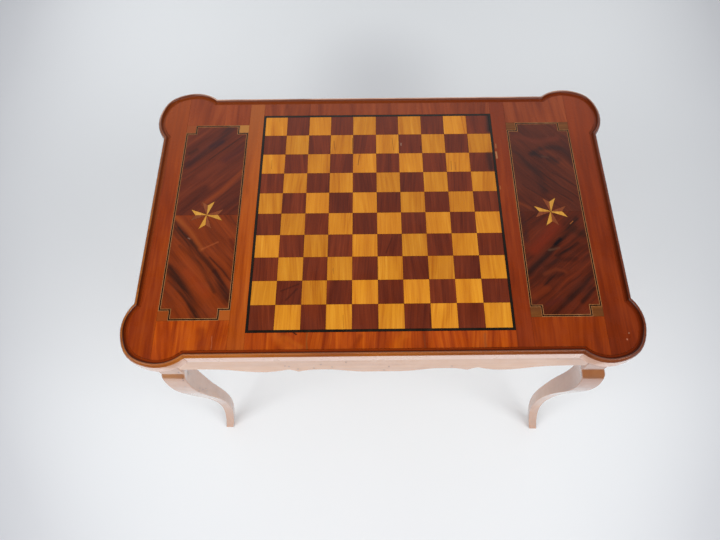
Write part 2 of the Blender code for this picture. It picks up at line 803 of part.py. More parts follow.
def apron(name, span, distance, turn, parent, material):
    """A scalloped board with tenons at both ends and a groove inside for the well's bottom."""
    face = distance
    outline = apron_outline(span - GAP)
    eased = inset(outline, APRON_EASE)
    rings = []
    for points, depth in ((eased, 0), (outline, APRON_EASE), (outline, APRON_THICK)):
        rings.append([(x, depth - face, STAND_TOP + z) for x, z in points])
    shape = loft(rings)
    tenons = bmesh.new()
    groove = bmesh.new()
    holes = bmesh.new()
    for side in (-1, 1):
        ends = sorted((side * (span - OVERRUN), side * (span + TENON_LENGTH)))
        low = (ends[0], TENON_SET - face, TENON_BOTTOM)
        high = (ends[1], TENON_SET + TENON_THICK - face, TENON_TOP)
        add_box(tenons, low, high)
        for share in PEG_HEIGHT_SHARES:
            height = TENON_BOTTOM + share * (TENON_TOP - TENON_BOTTOM)
            place = side * (span + PEG_IN)
            near = (place, -face, height)
            far = (place, APRON_THICK - face, height)
            add_rod(holes, near, far, PEG_RADIUS + GAP, PEG_SIDES)
    low = (-span - OVERRUN, APRON_THICK - BOTTOM_TONGUE - face, WELL_FLOOR - BOTTOM_THICK - GAP)
    high = (span + OVERRUN, APRON_THICK + OVERRUN - face, WELL_FLOOR + GAP)
    add_box(groove, low, high)
    turned = Matrix.Rotation(turn, 4, "Z")
    for part in (shape, tenons, groove, holes):
        bmesh.ops.transform(part, matrix=turned, verts=part.verts)
    origin = turned @ Vector((0, APRON_THICK / 2 - face, STAND_TOP))
    board = body("apron_" + name, shape, origin, parent, material, 35)
    tool(board, tenons, "UNION", "tenons")
    tool(board, groove, "DIFFERENCE", "groove")
    tool(board, holes, "DIFFERENCE", "peg_holes")


def aprons(parent, material):
    apron("front", SPAN_X, FACE_Y, 0, parent, material)
    apron("back", SPAN_X, FACE_Y, math.pi, parent, material)
    apron("left", SPAN_Y, FACE_X, -math.pi / 2, parent, material)
    apron("right", SPAN_Y, FACE_X, math.pi / 2, parent, material)


def well_bottom(parent, material):
    """The board that closes the well, with its edges in the aprons' grooves, cut round the posts."""
    reach_x = INNER_X + BOTTOM_TONGUE - GAP
    reach_y = INNER_Y + BOTTOM_TONGUE - GAP
    post_x = SPAN_X - GAP
    post_y = SPAN_Y - GAP
    quarter = [(reach_x, post_y), (post_x, post_y), (post_x, reach_y)]
    outline = quarter + [(-x, y) for x, y in quarter[::-1]]
    outline += [(-x, -y) for x, y in quarter] + [(x, -y) for x, y in quarter[::-1]]
    shape = prism(outline, WELL_FLOOR - BOTTOM_THICK, WELL_FLOOR)
    body("well_bottom", shape, (0, 0, WELL_FLOOR), parent, material)


def point_pitch():
    return (PARTITION_X - BAR_WIDTH / 2) / POINTS_IN_ROW


def rails(parent, material):
    """Front and back linings, housed for the partitions and the bar, with a scoring hole at each point."""
    for name, end in (("front", -1), ("back", 1)):
        low_y, high_y = sorted((end * RAIL_Y, end * (INNER_Y - GAP)))
        reach = SPAN_X - GAP
        shape = box((-reach, low_y, WELL_FLOOR + GAP), (reach, high_y, STAND_TOP))
        rail = body("well_rail_" + name, shape, (0, end * RAIL_Y, WELL_FLOOR), parent, material)
        housings = bmesh.new()
        near, far = sorted((end * (RAIL_Y - OVERRUN), end * (RAIL_Y + HOUSING)))
        for middle, width in slots():
            left = middle - width / 2 - GAP
            right = middle + width / 2 + GAP
            add_box(housings, (left, near, WELL_FLOOR - OVERRUN), (right, far, STAND_TOP + OVERRUN))
        tool(rail, housings, "DIFFERENCE", "housings")
        holes = bmesh.new()
        for side in (-1, 1):
            for place in range(POINTS_IN_ROW):
                x = side * (BAR_WIDTH / 2 + (2 * place + 1) * point_pitch() / 2)
                y = end * (RAIL_Y + (RAIL_THICK + HOUSING) / 2)
                low = (x, y, STAND_TOP - SCORE_HOLE_DEPTH)
                add_rod(holes, low, (x, y, STAND_TOP + OVERRUN), SCORE_HOLE_RADIUS, HOLE_SIDES)
        tool(rail, holes, "DIFFERENCE", "scoring_holes")


def slots():
    """Place and width of each divider that the rails are housed for."""
    outer = PARTITION_X + PARTITION_THICK / 2
    return ((-outer, PARTITION_THICK), (0, BAR_WIDTH), (outer, PARTITION_THICK))


def dividers(parent, partition, bar):
    reach = RAIL_Y + HOUSING - GAP
    floor = WELL_FLOOR + GAP
    for name, side in (("left", -1), ("right", 1)):
        near, far = sorted((side * PARTITION_X, side * (PARTITION_X + PARTITION_THICK)))
        shape = box((near, -reach, floor), (far, reach, STAND_TOP))
        middle = side * (PARTITION_X + PARTITION_THICK / 2)
        wall = body("partition_" + name, shape, (middle, 0, WELL_FLOOR), parent, partition)
        holes = bmesh.new()
        for share in END_HOLE_SHARES:
            low = (middle, share * RAIL_Y, STAND_TOP - SCORE_HOLE_DEPTH)
            high = (middle, share * RAIL_Y, STAND_TOP + OVERRUN)
            add_rod(holes, low, high, SCORE_HOLE_RADIUS, HOLE_SIDES)
        tool(wall, holes, "DIFFERENCE", "scoring_holes")
    shape = box((-BAR_WIDTH / 2, -reach, floor), (BAR_WIDTH / 2, reach, STAND_TOP - BAR_DROP))
    body("centre_bar", shape, (0, 0, WELL_FLOOR), parent, bar)


def game_pieces(side):
    """The long triangles of one half, light and dark by turns, from the front rail and the back."""
    pieces = []
    for end in (-1, 1):
        for place in range(POINTS_IN_ROW):
            left = BAR_WIDTH / 2 + place * point_pitch() + POINT_SPACE / 2
            right = left + point_pitch() - POINT_SPACE
            base = end * RAIL_Y
            tip = end * (RAIL_Y - POINT_LENGTH)
            triangle = [(side * left, base), (side * right, base), (side * (left + right) / 2, tip)]
            if side * end > 0:
                triangle = triangle[::-1]
            pieces.append((triangle, 1 + (place + (end > 0) + (side > 0)) % 2))
    return pieces


def field_outline(side):
    """The ground of one half, notched for every point, listed anticlockwise."""
    edge = [(BAR_WIDTH / 2, -RAIL_Y)]
    for place in range(POINTS_IN_ROW):
        left = BAR_WIDTH / 2 + place * point_pitch() + POINT_SPACE / 2
        right = left + point_pitch() - POINT_SPACE
        edge += [(left, -RAIL_Y), ((left + right) / 2, POINT_LENGTH - RAIL_Y), (right, -RAIL_Y)]
    edge.append((PARTITION_X, -RAIL_Y))
    outline = edge + [(x, -y) for x, y in edge[::-1]]
    if side < 0:
        outline = [(-x, y) for x, y in outline[::-1]]
    return outline


def game_field(parent, ground, light, dark):
    """The playing ground of each half, with its twelve inlaid points."""
    low = WELL_FLOOR + GAP
    for name, side in (("left", -1), ("right", 1)):
        near, far = sorted((side * BAR_WIDTH / 2, side * PARTITION_X))
        outline = rectangle(near, -RAIL_Y, far, RAIL_Y)
        pieces = [(field_outline(side), 0)] + game_pieces(side)
        scored("game_field_" + name, outline, pieces, low, low + WELL_VENEER, parent, (ground, light, dark))


def stand():
    """Everything that stays on the floor: legs, aprons and the well between them."""
    base = empty("stand", (0, 0, 0))
    leg_wood = wood("leg_wood", 178, 118, 72, 0.28)
    apron_wood = wood("apron_wood", 184, 124, 76, 0.28)
    legs(base, leg_wood, wood("peg_wood", 150, 98, 58, 0.45))
    aprons(base, apron_wood)
    well_bottom(base, wood("bottom_board", 168, 126, 84, 0.6))
    rails(base, wood("rail_wood", 120, 66, 38, 0.35))
    dividers(base, wood("partition_wood", 124, 70, 40, 0.35), wood("bar_wood", 60, 38, 28, 0.35))
    game_field(
        base,
        wood("field_wood", 96, 56, 36, 0.4),
        wood("point_light_wood", 214, 178, 118, 0.4),
        wood("point_dark_wood", 40, 52, 38, 0.4),
    )


def top():
    """Everything that lifts off together."""
    lifting = empty("lifting_top", (0, 0, STAND_TOP))
    top_core(
        lifting,
        wood("core_wood", 150, 108, 70, 0.55),
        wood("green_baize", 44, 86, 52, 0.95),
        wood("corner_square_wood", 124, 90, 48, 0.3),
    )
    rim_wood = wood("rim_wood", 138, 72, 34, 0.22)
    ear_rims(lifting, rim_wood)
    straight_rims(lifting, rim_wood)
    chequer(
        lifting,
        wood("light_square_wood", 212, 148, 62, 0.25),
        wood("dark_square_wood", 116, 52, 32, 0.25),
    )
    ebony_line(lifting, wood("ebony", 32, 26, 22, 0.3))
    bands(
        lifting,
        wood("border_veneer", 156, 74, 38, 0.25),
        wood("band_veneer", 166, 76, 34, 0.25),
        wood("strip_veneer", 168, 92, 44, 0.25),
    )
    walnut = wood("walnut_figure", 104, 58, 38, 0.25)
    string_light = wood("string_light_wood", 196, 152, 92, 0.3)
    string_dark = wood("string_dark_wood", 34, 28, 24, 0.3)
    cross_light = wood("cross_light_wood", 224, 170, 78, 0.3)
    cross_dark = wood("cross_dark_wood", 158, 88, 46, 0.3)
    for name, side in (("left", -1), ("right", 1)):
        middle = INLAY_SHIFT + side * PANEL_MIDDLE
        stringing(name, middle, lifting, string_light, string_dark)
        panel(name, middle, lifting, walnut)
        cross(name, middle, lifting, cross_light, cross_dark)


clear_scene()
stand()
top()
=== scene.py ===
"""The look of a games table with a lift-off chequered top: woods, light, floor and camera."""
import math

import bpy
from mathutils import Matrix, Vector

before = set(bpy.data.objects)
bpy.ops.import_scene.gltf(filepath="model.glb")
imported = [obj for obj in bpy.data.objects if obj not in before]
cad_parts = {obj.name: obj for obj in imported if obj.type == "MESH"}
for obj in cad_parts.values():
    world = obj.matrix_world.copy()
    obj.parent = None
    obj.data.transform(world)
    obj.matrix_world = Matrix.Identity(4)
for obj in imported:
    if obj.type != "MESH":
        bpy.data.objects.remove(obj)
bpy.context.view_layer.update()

# The camera, in metres, degrees and pixels of the 720 by 540 frame.
FRAME_WIDE = 720
FRAME_HIGH = 540
FOCAL_PIXELS = 583.0
AXIS_PIXEL = (375.61, 271.43)
CAMERA_PLACE = (-0.01508, -0.5873, 1.70493)
CAMERA_TILT = 64.6294
CAMERA_YAW = 0.3116
CAMERA_ROLL = -0.3315
SENSOR = 36.0

# Sizes of the table that the materials follow, in metres.
FIELD = 0.730
BOARD_LONG = 0.2344
BOARD_HALF = 0.2375
INLAY_SHIFT = -0.005
COLUMN_SHARES = (-0.807, -0.608, -0.415, -0.217, -0.015, 0.184, 0.387, 0.590, 0.796)
ROW_SHARES = (0.800, 0.598, 0.401, 0.204, 0.006, -0.194, -0.395, -0.598, -0.799)
PANEL_MIDDLE = 0.33425
HALF_LENGTH = 0.449
HALF_DEPTH = 0.287
EAR_RADIUS = 0.0726
EAR_INSET = 0.0558
EAR_FULLNESS = 0.0025
BAR_HALF = 0.006
HALF_POINTS = 6
POINT_END = 0.3198
POINT_BASE = 0.2393
POINT_TIP = 0.0405
POINT_SPACE = 0.003
PEG_PLACES = ((0.4058, 0.2416), (0.64131, 0.67144))
PEG_RADIUS = 0.0032
ARRIS = 0.0006
ARRIS_ANGLE = 32
WELD_REACH = 0.00002

# Depths in from the top's outer edge where the rim's material changes, each a soft step between the two. The
# crest's hold a painted highlight.
# Those of the dirt and painted shade are followed by its strength past the quirk, further in, in front and
# behind.
CREST_STARTS = (0.0012, 0.0024)
CREST_ENDS = (0.0046, 0.0056)
QUIRK_STARTS = (0.0052, 0.0066)
QUIRK_ENDS = (0.007, 0.0086)
DIRT_SHADE_ENDS = (0.0085, 0.0125)
DIRT_SHADE_AFTER = 0.42
DIRT_SHADE_INSIDE = 0.05
DIRT_SHADE_IN_FRONT = 0.92
DIRT_SHADE_LESS_BEHIND = 0.3
INNER_STARTS = (0.0054, 0.0072)
FACE_ENDS = (0.0002, 0.0008)
SHINE_ENDS = (0.0015, 0.0045)
BEAD_HIGH = 0.0022
BEAD_REACH = 0.0038
FACE_BELOW = FIELD - 0.002
CREST_HIGHLIGHT_TONE = (228, 182, 156)
DIRT_SHADE_TONE = (50, 18, 8)
FACE_REFLECTION_TONE = (210, 165, 141)

# The rim's gloss: specular level on the bead and how much less inside, coat, and the bead's shine behind.
# Then the patches of the painted highlight on its crest.
RIM_SPECULAR = 0.45
INNER_LESS = 0.35
COAT_LEAST = 0.12
SHINE_MOST = 0.6
CREST_HIGHLIGHT_PATCHES = (0.35, 0.6, 0.35, 0.95)

# Where the rim's tone turns, along the table's length or depth.
RIM_TURNS_BACK = (-0.26, 0.1)
RIM_TURNS_FAR = (0.2, 0.27)
RIM_TURNS_RIGHT = (-0.05, 0.35)
RIM_COOLS = (-0.35, 0.1)
RIM_SLANT = 0.6

# The holes, the rings round the pegs and the darker right knee: lengths in metres, strengths and tones.
HOLE_EDGE = (0.0005, 0.0019)
HOLE_DEEP = 0.85
RING_DEEP = 0.35
PEG_RING = (PEG_RADIUS - 0.0002, PEG_RADIUS + 0.0006)
KNEE_FROM_X = (0.3, 0.4)
KNEE_FROM_Z = (0.25, 0.45)
KNEE_DARKER = (0.77, 0.68, 0.62, 1.0)
HOLE_TONE = (58, 28, 20)
RING_TONE = (104, 60, 36)
WHITE = (1.0, 1.0, 1.0, 1.0)

# How golden the board's light squares turn toward the front, and their cracks.
NEAR_GOLDEN = (1.08, 1.15, 1.06, 1.0)
CRACK_TONE = (120, 66, 26)
CRACK_WIDTH = 0.0022
CRACK_LENGTH = 0.05
CRACK_FROM = (0.7, 0.76)
CRACK_PATCHES = (0.5, 0.6, 0.0, 0.55)

# How unlike neighbours are: the lean of their grain, the way between their places in the wood, and the range
# and the least of their lightness. A band has so many leaves to the metre.
SQUARE_LEAN = 0.24
SQUARE_APART = 9.0
SQUARE_LIGHT = (0.2, 0.87)
BAND_LEAVES = 17.0
BAND_LEAN = 0.3
BAND_APART = 5.0
BAND_LIGHT = (0.16, 0.92)
FACET_LIGHT = (0.2, 0.86)

# The small squares at the panels' corners, in metres.
CORNER_MIDDLE = -0.285
CORNER_HALF = 0.025
CORNER_ABOVE = FIELD - 0.001

# Light, as power in watts or strength, and places in metres.
LAMP_AIM = (0, 0, 0.3)
LAMP_SIZE = (1.8, 1.4)
SIDE_LAMPS = (("lamp_left", (-1.75, -1.65, 2.6), 36.0), ("lamp_right", (1.7, -1.65, 2.6), 34.92))
FRONT_PLACE = (0, -3.2, 1.6)
FRONT_SIZE = (3.0, 1.2)
FRONT_POWER = 25
BACK_LAMPS = ((-1, 1.1), (1, 0.55))
BACK_PLACE = (1.2, 1.3, 1.7)
BACK_AIM = (1.1, 1.6, 0)
BACK_SIZE = (0.8, 0.8)
BACK_SPREAD = 80
SKY_LEVEL = 0.5
ROOM_LEVEL = 0.03
BACKDROP_LEVEL = 1.0
BACKDROP_FROM = (0.36, 0.8)
SKY_TINT = (0.985, 0.995, 1.02, 1)
SKY_SEEN = (0.8, 0.81, 0.83, 1)

# The dark sheet before the table, in metres. It stands in for the shade of the unlit room and is seen only in
# reflections.
ROOM_LOW = (-1.3, -2.2)
ROOM_HIGH = (1.3, -0.62)
ROOM_RISE = 0.002

# The floor, in metres. Its colour paints the fall-off of light: it darkens with a power of the distance from
# its middle line, toward the front, and in a painted shadow behind the table's middle. The distance from the
# middle line is taken in a width that is 1 at FLOOR_TRUE_AT, grows by FLOOR_WIDENS a metre to the back and
# ends at FLOOR_WIDEST.
FLOOR_REACH = 9.0
FLOOR_MIDDLE = -0.03
FLOOR_POWER = 4.0
FLOOR_TRUE_AT = -0.3
FLOOR_WIDENS = 0.36
FLOOR_WIDEST = 1.34
FLOOR_EASE = 0.2
FLOOR_START = 0.01
FLOOR_PAINTED_FALL = 0.24
FLOOR_MOST = 0.42
FLOOR_CLOUD = 0.04
FRONT_ENDS = (-0.8, -0.2)
FRONT_PAINTED_FALL = 0.13
PAINTED_SHADOW_PLACE = (0.0, 1.03, 0.0)
PAINTED_SHADOW_REACH = 0.4
PAINTED_SHADOW_FALL = 0.15
FLOOR_STOPS = ((0.0, (245, 248, 250)), (0.3, (212, 214, 218)), (1.0, (150, 154, 162)))

# Places of small marks, in pixels of the frame.
APRON_HOLES = (
    (285, 366), (289, 366.5), (298, 369), (321, 364.5), (314, 368), (332, 367),
    (346, 362.2), (384, 370), (389, 366.5), (452, 366), (518, 358.5), (558, 358.2),
)
LEG_HOLES = (
    (185.2, 387), (200, 388), (203, 389.5), (206, 388.5), (207, 391), (199, 391),
    (182.7, 378.5), (183.2, 380.5), (178.5, 372.5), (187.5, 372), (188.5, 374),
)
HOLES_BEFORE = -0.2

# Widths in metres of a wood's broad streaks, growth lines and fibres, how many times longer they are than
# wide, and their shares in its tone.
WOOD_SPANS = (0.026, 0.0055, 0.0009)
WOOD_STRETCH = (9, 26, 40)
WOOD_SHARES = (0.5, 0.35, 0.15)
LIGHT_SPANS = (0.03, 0.0045, 0.0014)
LIGHT_SHARES = (0.45, 0.32, 0.23)
DARK_SPANS = (0.024, 0.0045, 0.0014)
DARK_SHARES = (0.4, 0.35, 0.25)
STAND_SPANS = (0.05, 0.016, 0.006)
STAND_SHARES = (0.55, 0.35, 0.1)
BAND_SPANS = (0.024, 0.006, 0.0012)
CORNER_SPANS = (0.012, 0.003, 0.0008)
RIM_SPANS = (0.04, 0.006, 0.001)
SMALL_SPANS = (0.01, 0.003, 0.0008)
CROSS_SPANS = (0.01, 0.003, 0.0007)

# Values of the shader's own sockets for varnished, waxed and polished wood.
GLOSS = (
    ("Coat Weight", 0.25), ("Coat Roughness", 0.12), ("Coat IOR", 1.5), ("IOR", 1.45),
    ("Specular IOR Level", 0.3),
)
WAXED = (("Coat Roughness", 0.08), ("Coat IOR", 1.95), ("IOR", 1.5))
POLISHED = (("Coat Roughness", 0.1), ("Coat IOR", 1.9), ("IOR", 1.5))

# How rough the varnish of the top is, from its smoothest place to its dullest.
VARNISH = (0.2, 0.34)

# Walnut: width, length, detail and twist of its streaks, lines and fibres. Then their shares in its tone, and
# where its four tones lie.
WALNUT_GRAINS = ((0.03, 0.2, 2.0, 0.4), (0.007, 0.11, 2.0, 0.4), (0.0018, 0.03, 2.0, 0.0))
WALNUT_SHARES = (0.45, 0.38, 0.17)
WALNUT_STOPS = (0.34, 0.45, 0.55, 0.66)

# A mark fades between two shares of its half width. One wider than a fine streak is broken up by growth
# lines, and one on a band wavers a little.
MARK_CORE = 0.1
MARK_REACH = 1.3
MARK_BREAKS = (0.4, 0.62, 1.0, 0.62)
MARK_WAVE = 0.01
FINE_STREAK = 0.0025

# The figure of each walnut leaf: a grain line in pixels, its waviness and four tones.
# Then come its streaks, each a path of pixels with half width in metres, colour and strength.
LEAVES = {
    "panel_left_back": (
        ((183, 178), (242, 136)), 0.005, ((76, 29, 17), (92, 36, 19), (105, 42, 22), (120, 52, 26)),
        (
            (((188, 164), (204, 151), (222, 138), (230, 128)), 0.014, (56, 26, 24), 0.75),
            (((212, 146), (222, 142)), 0.008, (46, 23, 32), 0.65),
            (((190, 154), (197, 150)), 0.007, (46, 21, 15), 0.55),
            (((190, 160), (211, 143)), 0.003, (108, 46, 30), 0.6),
            (((183, 178), (209, 160)), 0.0014, (66, 28, 18), 0.5),
            (((209, 160), (243, 136)), 0.0014, (54, 22, 14), 0.9),
            (((200, 176), (222, 164)), 0.01, (118, 49, 26), 0.6),
            (((226, 160), (242, 150)), 0.014, (82, 31, 28), 0.5),
            (((204, 204), (222, 191), (242, 172)), 0.007, (140, 60, 21), 0.85),
            (((216, 201), (241, 180)), 0.0014, (78, 32, 18), 0.8),
            (((182, 208), (205, 190)), 0.014, (68, 26, 17), 0.75),
            (((226, 206), (240, 196)), 0.012, (74, 28, 18), 0.65),
        ),
    ),
    "panel_left_front": (
        ((176, 226), (215, 275)), 0.006, ((96, 36, 11), (116, 45, 13), (131, 52, 14), (146, 60, 17)),
        (
            (((174, 224), (187, 240), (203, 259), (217, 276), (229, 300)), 0.0125, (62, 26, 13), 0.85),
            (((178, 228), (187, 237)), 0.004, (44, 22, 16), 0.8),
            (((192, 240), (198, 247)), 0.004, (32, 18, 12), 0.8),
            (((209, 258), (221, 270), (231, 281)), 0.003, (50, 20, 12), 0.7),
            (((214, 272), (228, 296)), 0.007, (52, 20, 13), 0.7),
            (((180, 246), (197, 262), (214, 292)), 0.005, (78, 32, 12), 0.7),
            (((169, 268), (180, 284), (189, 300), (197, 320)), 0.0115, (50, 24, 15), 0.9),
            (((168, 281), (180, 294), (194, 312)), 0.003, (44, 22, 14), 0.6),
            (((186, 272), (206, 296)), 0.01, (148, 54, 13), 0.6),
            (((176, 217), (190, 232), (202, 249)), 0.006, (160, 76, 26), 0.7),
            (((232, 240), (236, 256)), 0.007, (88, 28, 13), 0.6),
            (((202, 249), (218, 242)), 0.0022, (168, 84, 42), 0.5),
            (((230, 215), (237, 225)), 0.003, (58, 26, 17), 0.6),
            # This tiny pale spot is a painted highlight.
            (((188, 238), (190, 239)), 0.001, (150, 120, 104), 0.6),
        ),
    ),
    "panel_right_back": (
        ((516, 152), (575, 199)), 0.012, ((64, 26, 17), (80, 33, 20), (92, 39, 22), (106, 46, 25)),
        (
            (((516, 136), (536, 141), (556, 139)), 0.008, (108, 45, 28), 0.6),
            (((531, 154), (541, 148), (552, 147), (562, 149), (571, 156)), 0.0075, (46, 24, 22), 0.75),
            (((534, 153), (541, 156)), 0.008, (38, 22, 22), 0.8),
            (((550, 157), (557, 160)), 0.0105, (38, 22, 22), 0.8),
            (((543, 152), (549, 153)), 0.004, (76, 32, 26), 0.7),
            (((542, 156), (549, 156.5)), 0.0026, (92, 62, 48), 0.5),
            (((511, 149), (523, 161), (534, 169), (541, 179), (546, 190)), 0.011, (46, 23, 20), 0.75),
            (((562, 138), (570, 150), (575, 166)), 0.009, (62, 27, 23), 0.5),
            (((540, 171), (582, 201)), 0.0016, (52, 23, 17), 0.8),
            (((552, 172), (582, 190)), 0.0016, (52, 23, 17), 0.7),
            (((545, 182), (572, 202)), 0.0016, (52, 23, 17), 0.7),
            (((523, 183), (545, 197)), 0.0016, (52, 23, 17), 0.6),
            (((520, 203), (530, 208)), 0.005, (122, 54, 24), 0.6),
        ),
    ),
    "panel_right_front": (
        ((534, 263), (572, 230)), 0.014, ((60, 23, 13), (78, 29, 14), (95, 35, 15), (112, 42, 17)),
        (
            (((534, 250), (556, 226)), 0.014, (126, 40, 16), 0.7),
            (((521, 214), (527, 240)), 0.007, (60, 26, 20), 0.7),
            (((528, 273), (545, 258), (557, 244), (568, 231), (576, 219)), 0.007, (42, 18, 12), 0.85),
            (((572, 228), (588, 236)), 0.012, (50, 24, 14), 0.8),
            (((555, 245), (560, 239)), 0.005, (20, 12, 16), 0.95),
            (((549, 250), (558, 249)), 0.003, (96, 64, 46), 0.6),
            (((556, 256), (566, 251), (578, 243)), 0.004, (38, 18, 14), 0.8),
            (((545, 266), (560, 260), (576, 259)), 0.006, (54, 22, 14), 0.6),
            (((545, 274), (556, 269), (566, 272)), 0.005, (118, 49, 22), 0.5),
            (((546, 284), (552, 278), (562, 274)), 0.006, (38, 18, 14), 0.8),
            (((570, 298), (584, 283), (597, 266)), 0.01, (44, 20, 14), 0.75),
            (((582, 302), (592, 289)), 0.007, (30, 17, 14), 0.65),
            (((548, 304), (560, 300)), 0.006, (84, 29, 24), 0.5),
            (((534, 297), (548, 288)), 0.008, (126, 49, 18), 0.6),
            (((570, 224), (572.5, 221.5)), 0.001, (186, 108, 46), 0.7),
        ),
    ),
}

# Cracks, stains and chips of the top, each a path of pixels with half width in metres, colour and strength.
TOP_MARKS = {
    "chequer_wood": (
        (((489, 114), (490, 130)), 0.01, (30, 21, 21), 0.9),
        (((489, 155), (491, 168)), 0.009, (44, 24, 21), 0.75),
        (((352.4, 138), (352.6, 153)), 0.0008, (60, 26, 12), 0.8),
        (((334, 141), (335, 150)), 0.0007, (90, 40, 14), 0.8),
        (((359.5, 155), (358, 165)), 0.0008, (74, 34, 14), 0.8),
        (((392, 138), (393.5, 150)), 0.0007, (100, 48, 18), 0.7),
        (((451, 161), (451.4, 170)), 0.0006, (84, 40, 14), 0.8),
        (((455, 162), (455.4, 170)), 0.0006, (84, 40, 14), 0.7),
        (((272, 160), (271.5, 169)), 0.0006, (110, 54, 18), 0.7),
        (((343, 315), (343.4, 328)), 0.0006, (120, 60, 20), 0.6),
        (((430, 313), (430.5, 327)), 0.0009, (50, 18, 12), 0.7),
        (((420.6, 146), (421, 150)), 0.0012, (40, 16, 12), 0.8),
        (((401, 143), (401, 145.5)), 0.0008, (206, 180, 156), 0.6),
        (((281, 291), (299, 284)), 0.002, (62, 24, 14), 0.6),
        (((286, 300), (297, 289)), 0.0022, (60, 22, 14), 0.6),
        (((386, 253), (392, 238)), 0.0016, (66, 24, 14), 0.6),
    ),
    "strip_right": (
        (((495.6, 144), (496, 148)), 0.0014, (170, 112, 70), 0.7),
        (((496, 152), (497, 158)), 0.0022, (186, 130, 84), 0.75),
        (((500, 186), (500.6, 189)), 0.0012, (170, 110, 60), 0.6),
    ),
    "border_right": (
        (((629, 332.6), (629, 333.4)), 0.0008, (200, 160, 130), 0.7),
        (((627, 339), (627.4, 339.6)), 0.0014, (206, 140, 110), 0.7),
    ),
    "band_front": (
        (((294, 332.6), (296, 334.5)), 0.0016, (18, 10, 6), 0.95),
        (((306.5, 334), (306.8, 350)), 0.0022, (128, 78, 32), 0.55),
        (((276, 334), (290, 352)), 0.011, (206, 100, 14), 0.45),
        (((284, 337), (300, 347)), 0.006, (210, 112, 22), 0.3),
        (((352, 350), (360, 336)), 0.006, (112, 34, 5), 0.45),
        (((396, 352), (404, 334)), 0.012, (204, 102, 10), 0.45),
        (((340, 336), (338, 352)), 0.008, (190, 84, 8), 0.4),
        (((424, 334), (424.4, 350)), 0.0018, (120, 64, 34), 0.4),
        (((485, 334), (485.4, 349)), 0.003, (118, 70, 40), 0.4),
        (((211, 337), (210.5, 350)), 0.0009, (190, 110, 70), 0.5),
        (((226, 332), (228, 352)), 0.014, (128, 34, 4), 0.5),
        (((186, 332), (190, 352)), 0.011, (188, 84, 12), 0.3),
        (((200, 332), (202, 352)), 0.011, (122, 38, 8), 0.5),
    ),
}


def tint(red, green, blue):
    """A colour on the screen's scale of 0 to 255, as the shader wants it."""
    levels = [level / 255 for level in (red, green, blue)]
    linear = [((v + 0.055) / 1.055) ** 2.4 if v > 0.04045 else v / 12.92 for v in levels]
    return (*linear, 1.0)


def camera_axes():
    """The camera's right, up and forward."""
    tilt, yaw, roll = (math.radians(v) for v in (CAMERA_TILT, CAMERA_YAW, CAMERA_ROLL))
    forward = Vector((math.sin(yaw) * math.cos(tilt), math.cos(yaw) * math.cos(tilt), -math.sin(tilt)))
    flat_right = Vector((math.cos(yaw), -math.sin(yaw), 0))
    flat_up = flat_right.cross(forward)
    right = math.cos(roll) * flat_right + math.sin(roll) * flat_up
    up = -math.sin(roll) * flat_right + math.cos(roll) * flat_up
    return right, up, forward


def seen_on(pixel, axis, level):
    """The point that a pixel shows on a plane square to an axis."""
    right, up, forward = camera_axes()
    across = (pixel[0] - AXIS_PIXEL[0]) / FOCAL_PIXELS
    above = (AXIS_PIXEL[1] - pixel[1]) / FOCAL_PIXELS
    ray = forward + across * right + above * up
    start = Vector(CAMERA_PLACE)
    return start + ray * (level - start[axis]) / ray[axis]


def make_camera():
    """A camera at the photograph's viewing angle, with the shift of its frame."""
    right, up, forward = camera_axes()
    data = bpy.data.cameras.new("camera")
    data.sensor_width = SENSOR
    data.lens = FOCAL_PIXELS / FRAME_WIDE * SENSOR
    data.shift_x = (FRAME_WIDE / 2 - AXIS_PIXEL[0]) / FRAME_WIDE
    data.shift_y = (AXIS_PIXEL[1] - FRAME_HIGH / 2) / FRAME_WIDE
    data.clip_start = 0.05
    data.clip_end = 60
    camera = bpy.data.objects.new("camera", data)
    turned = Matrix((right, up, -forward)).transposed().to_4x4()
    camera.matrix_world = Matrix.Translation(CAMERA_PLACE) @ turned
    bpy.context.scene.collection.objects.link(camera)
    bpy.context.scene.camera = camera


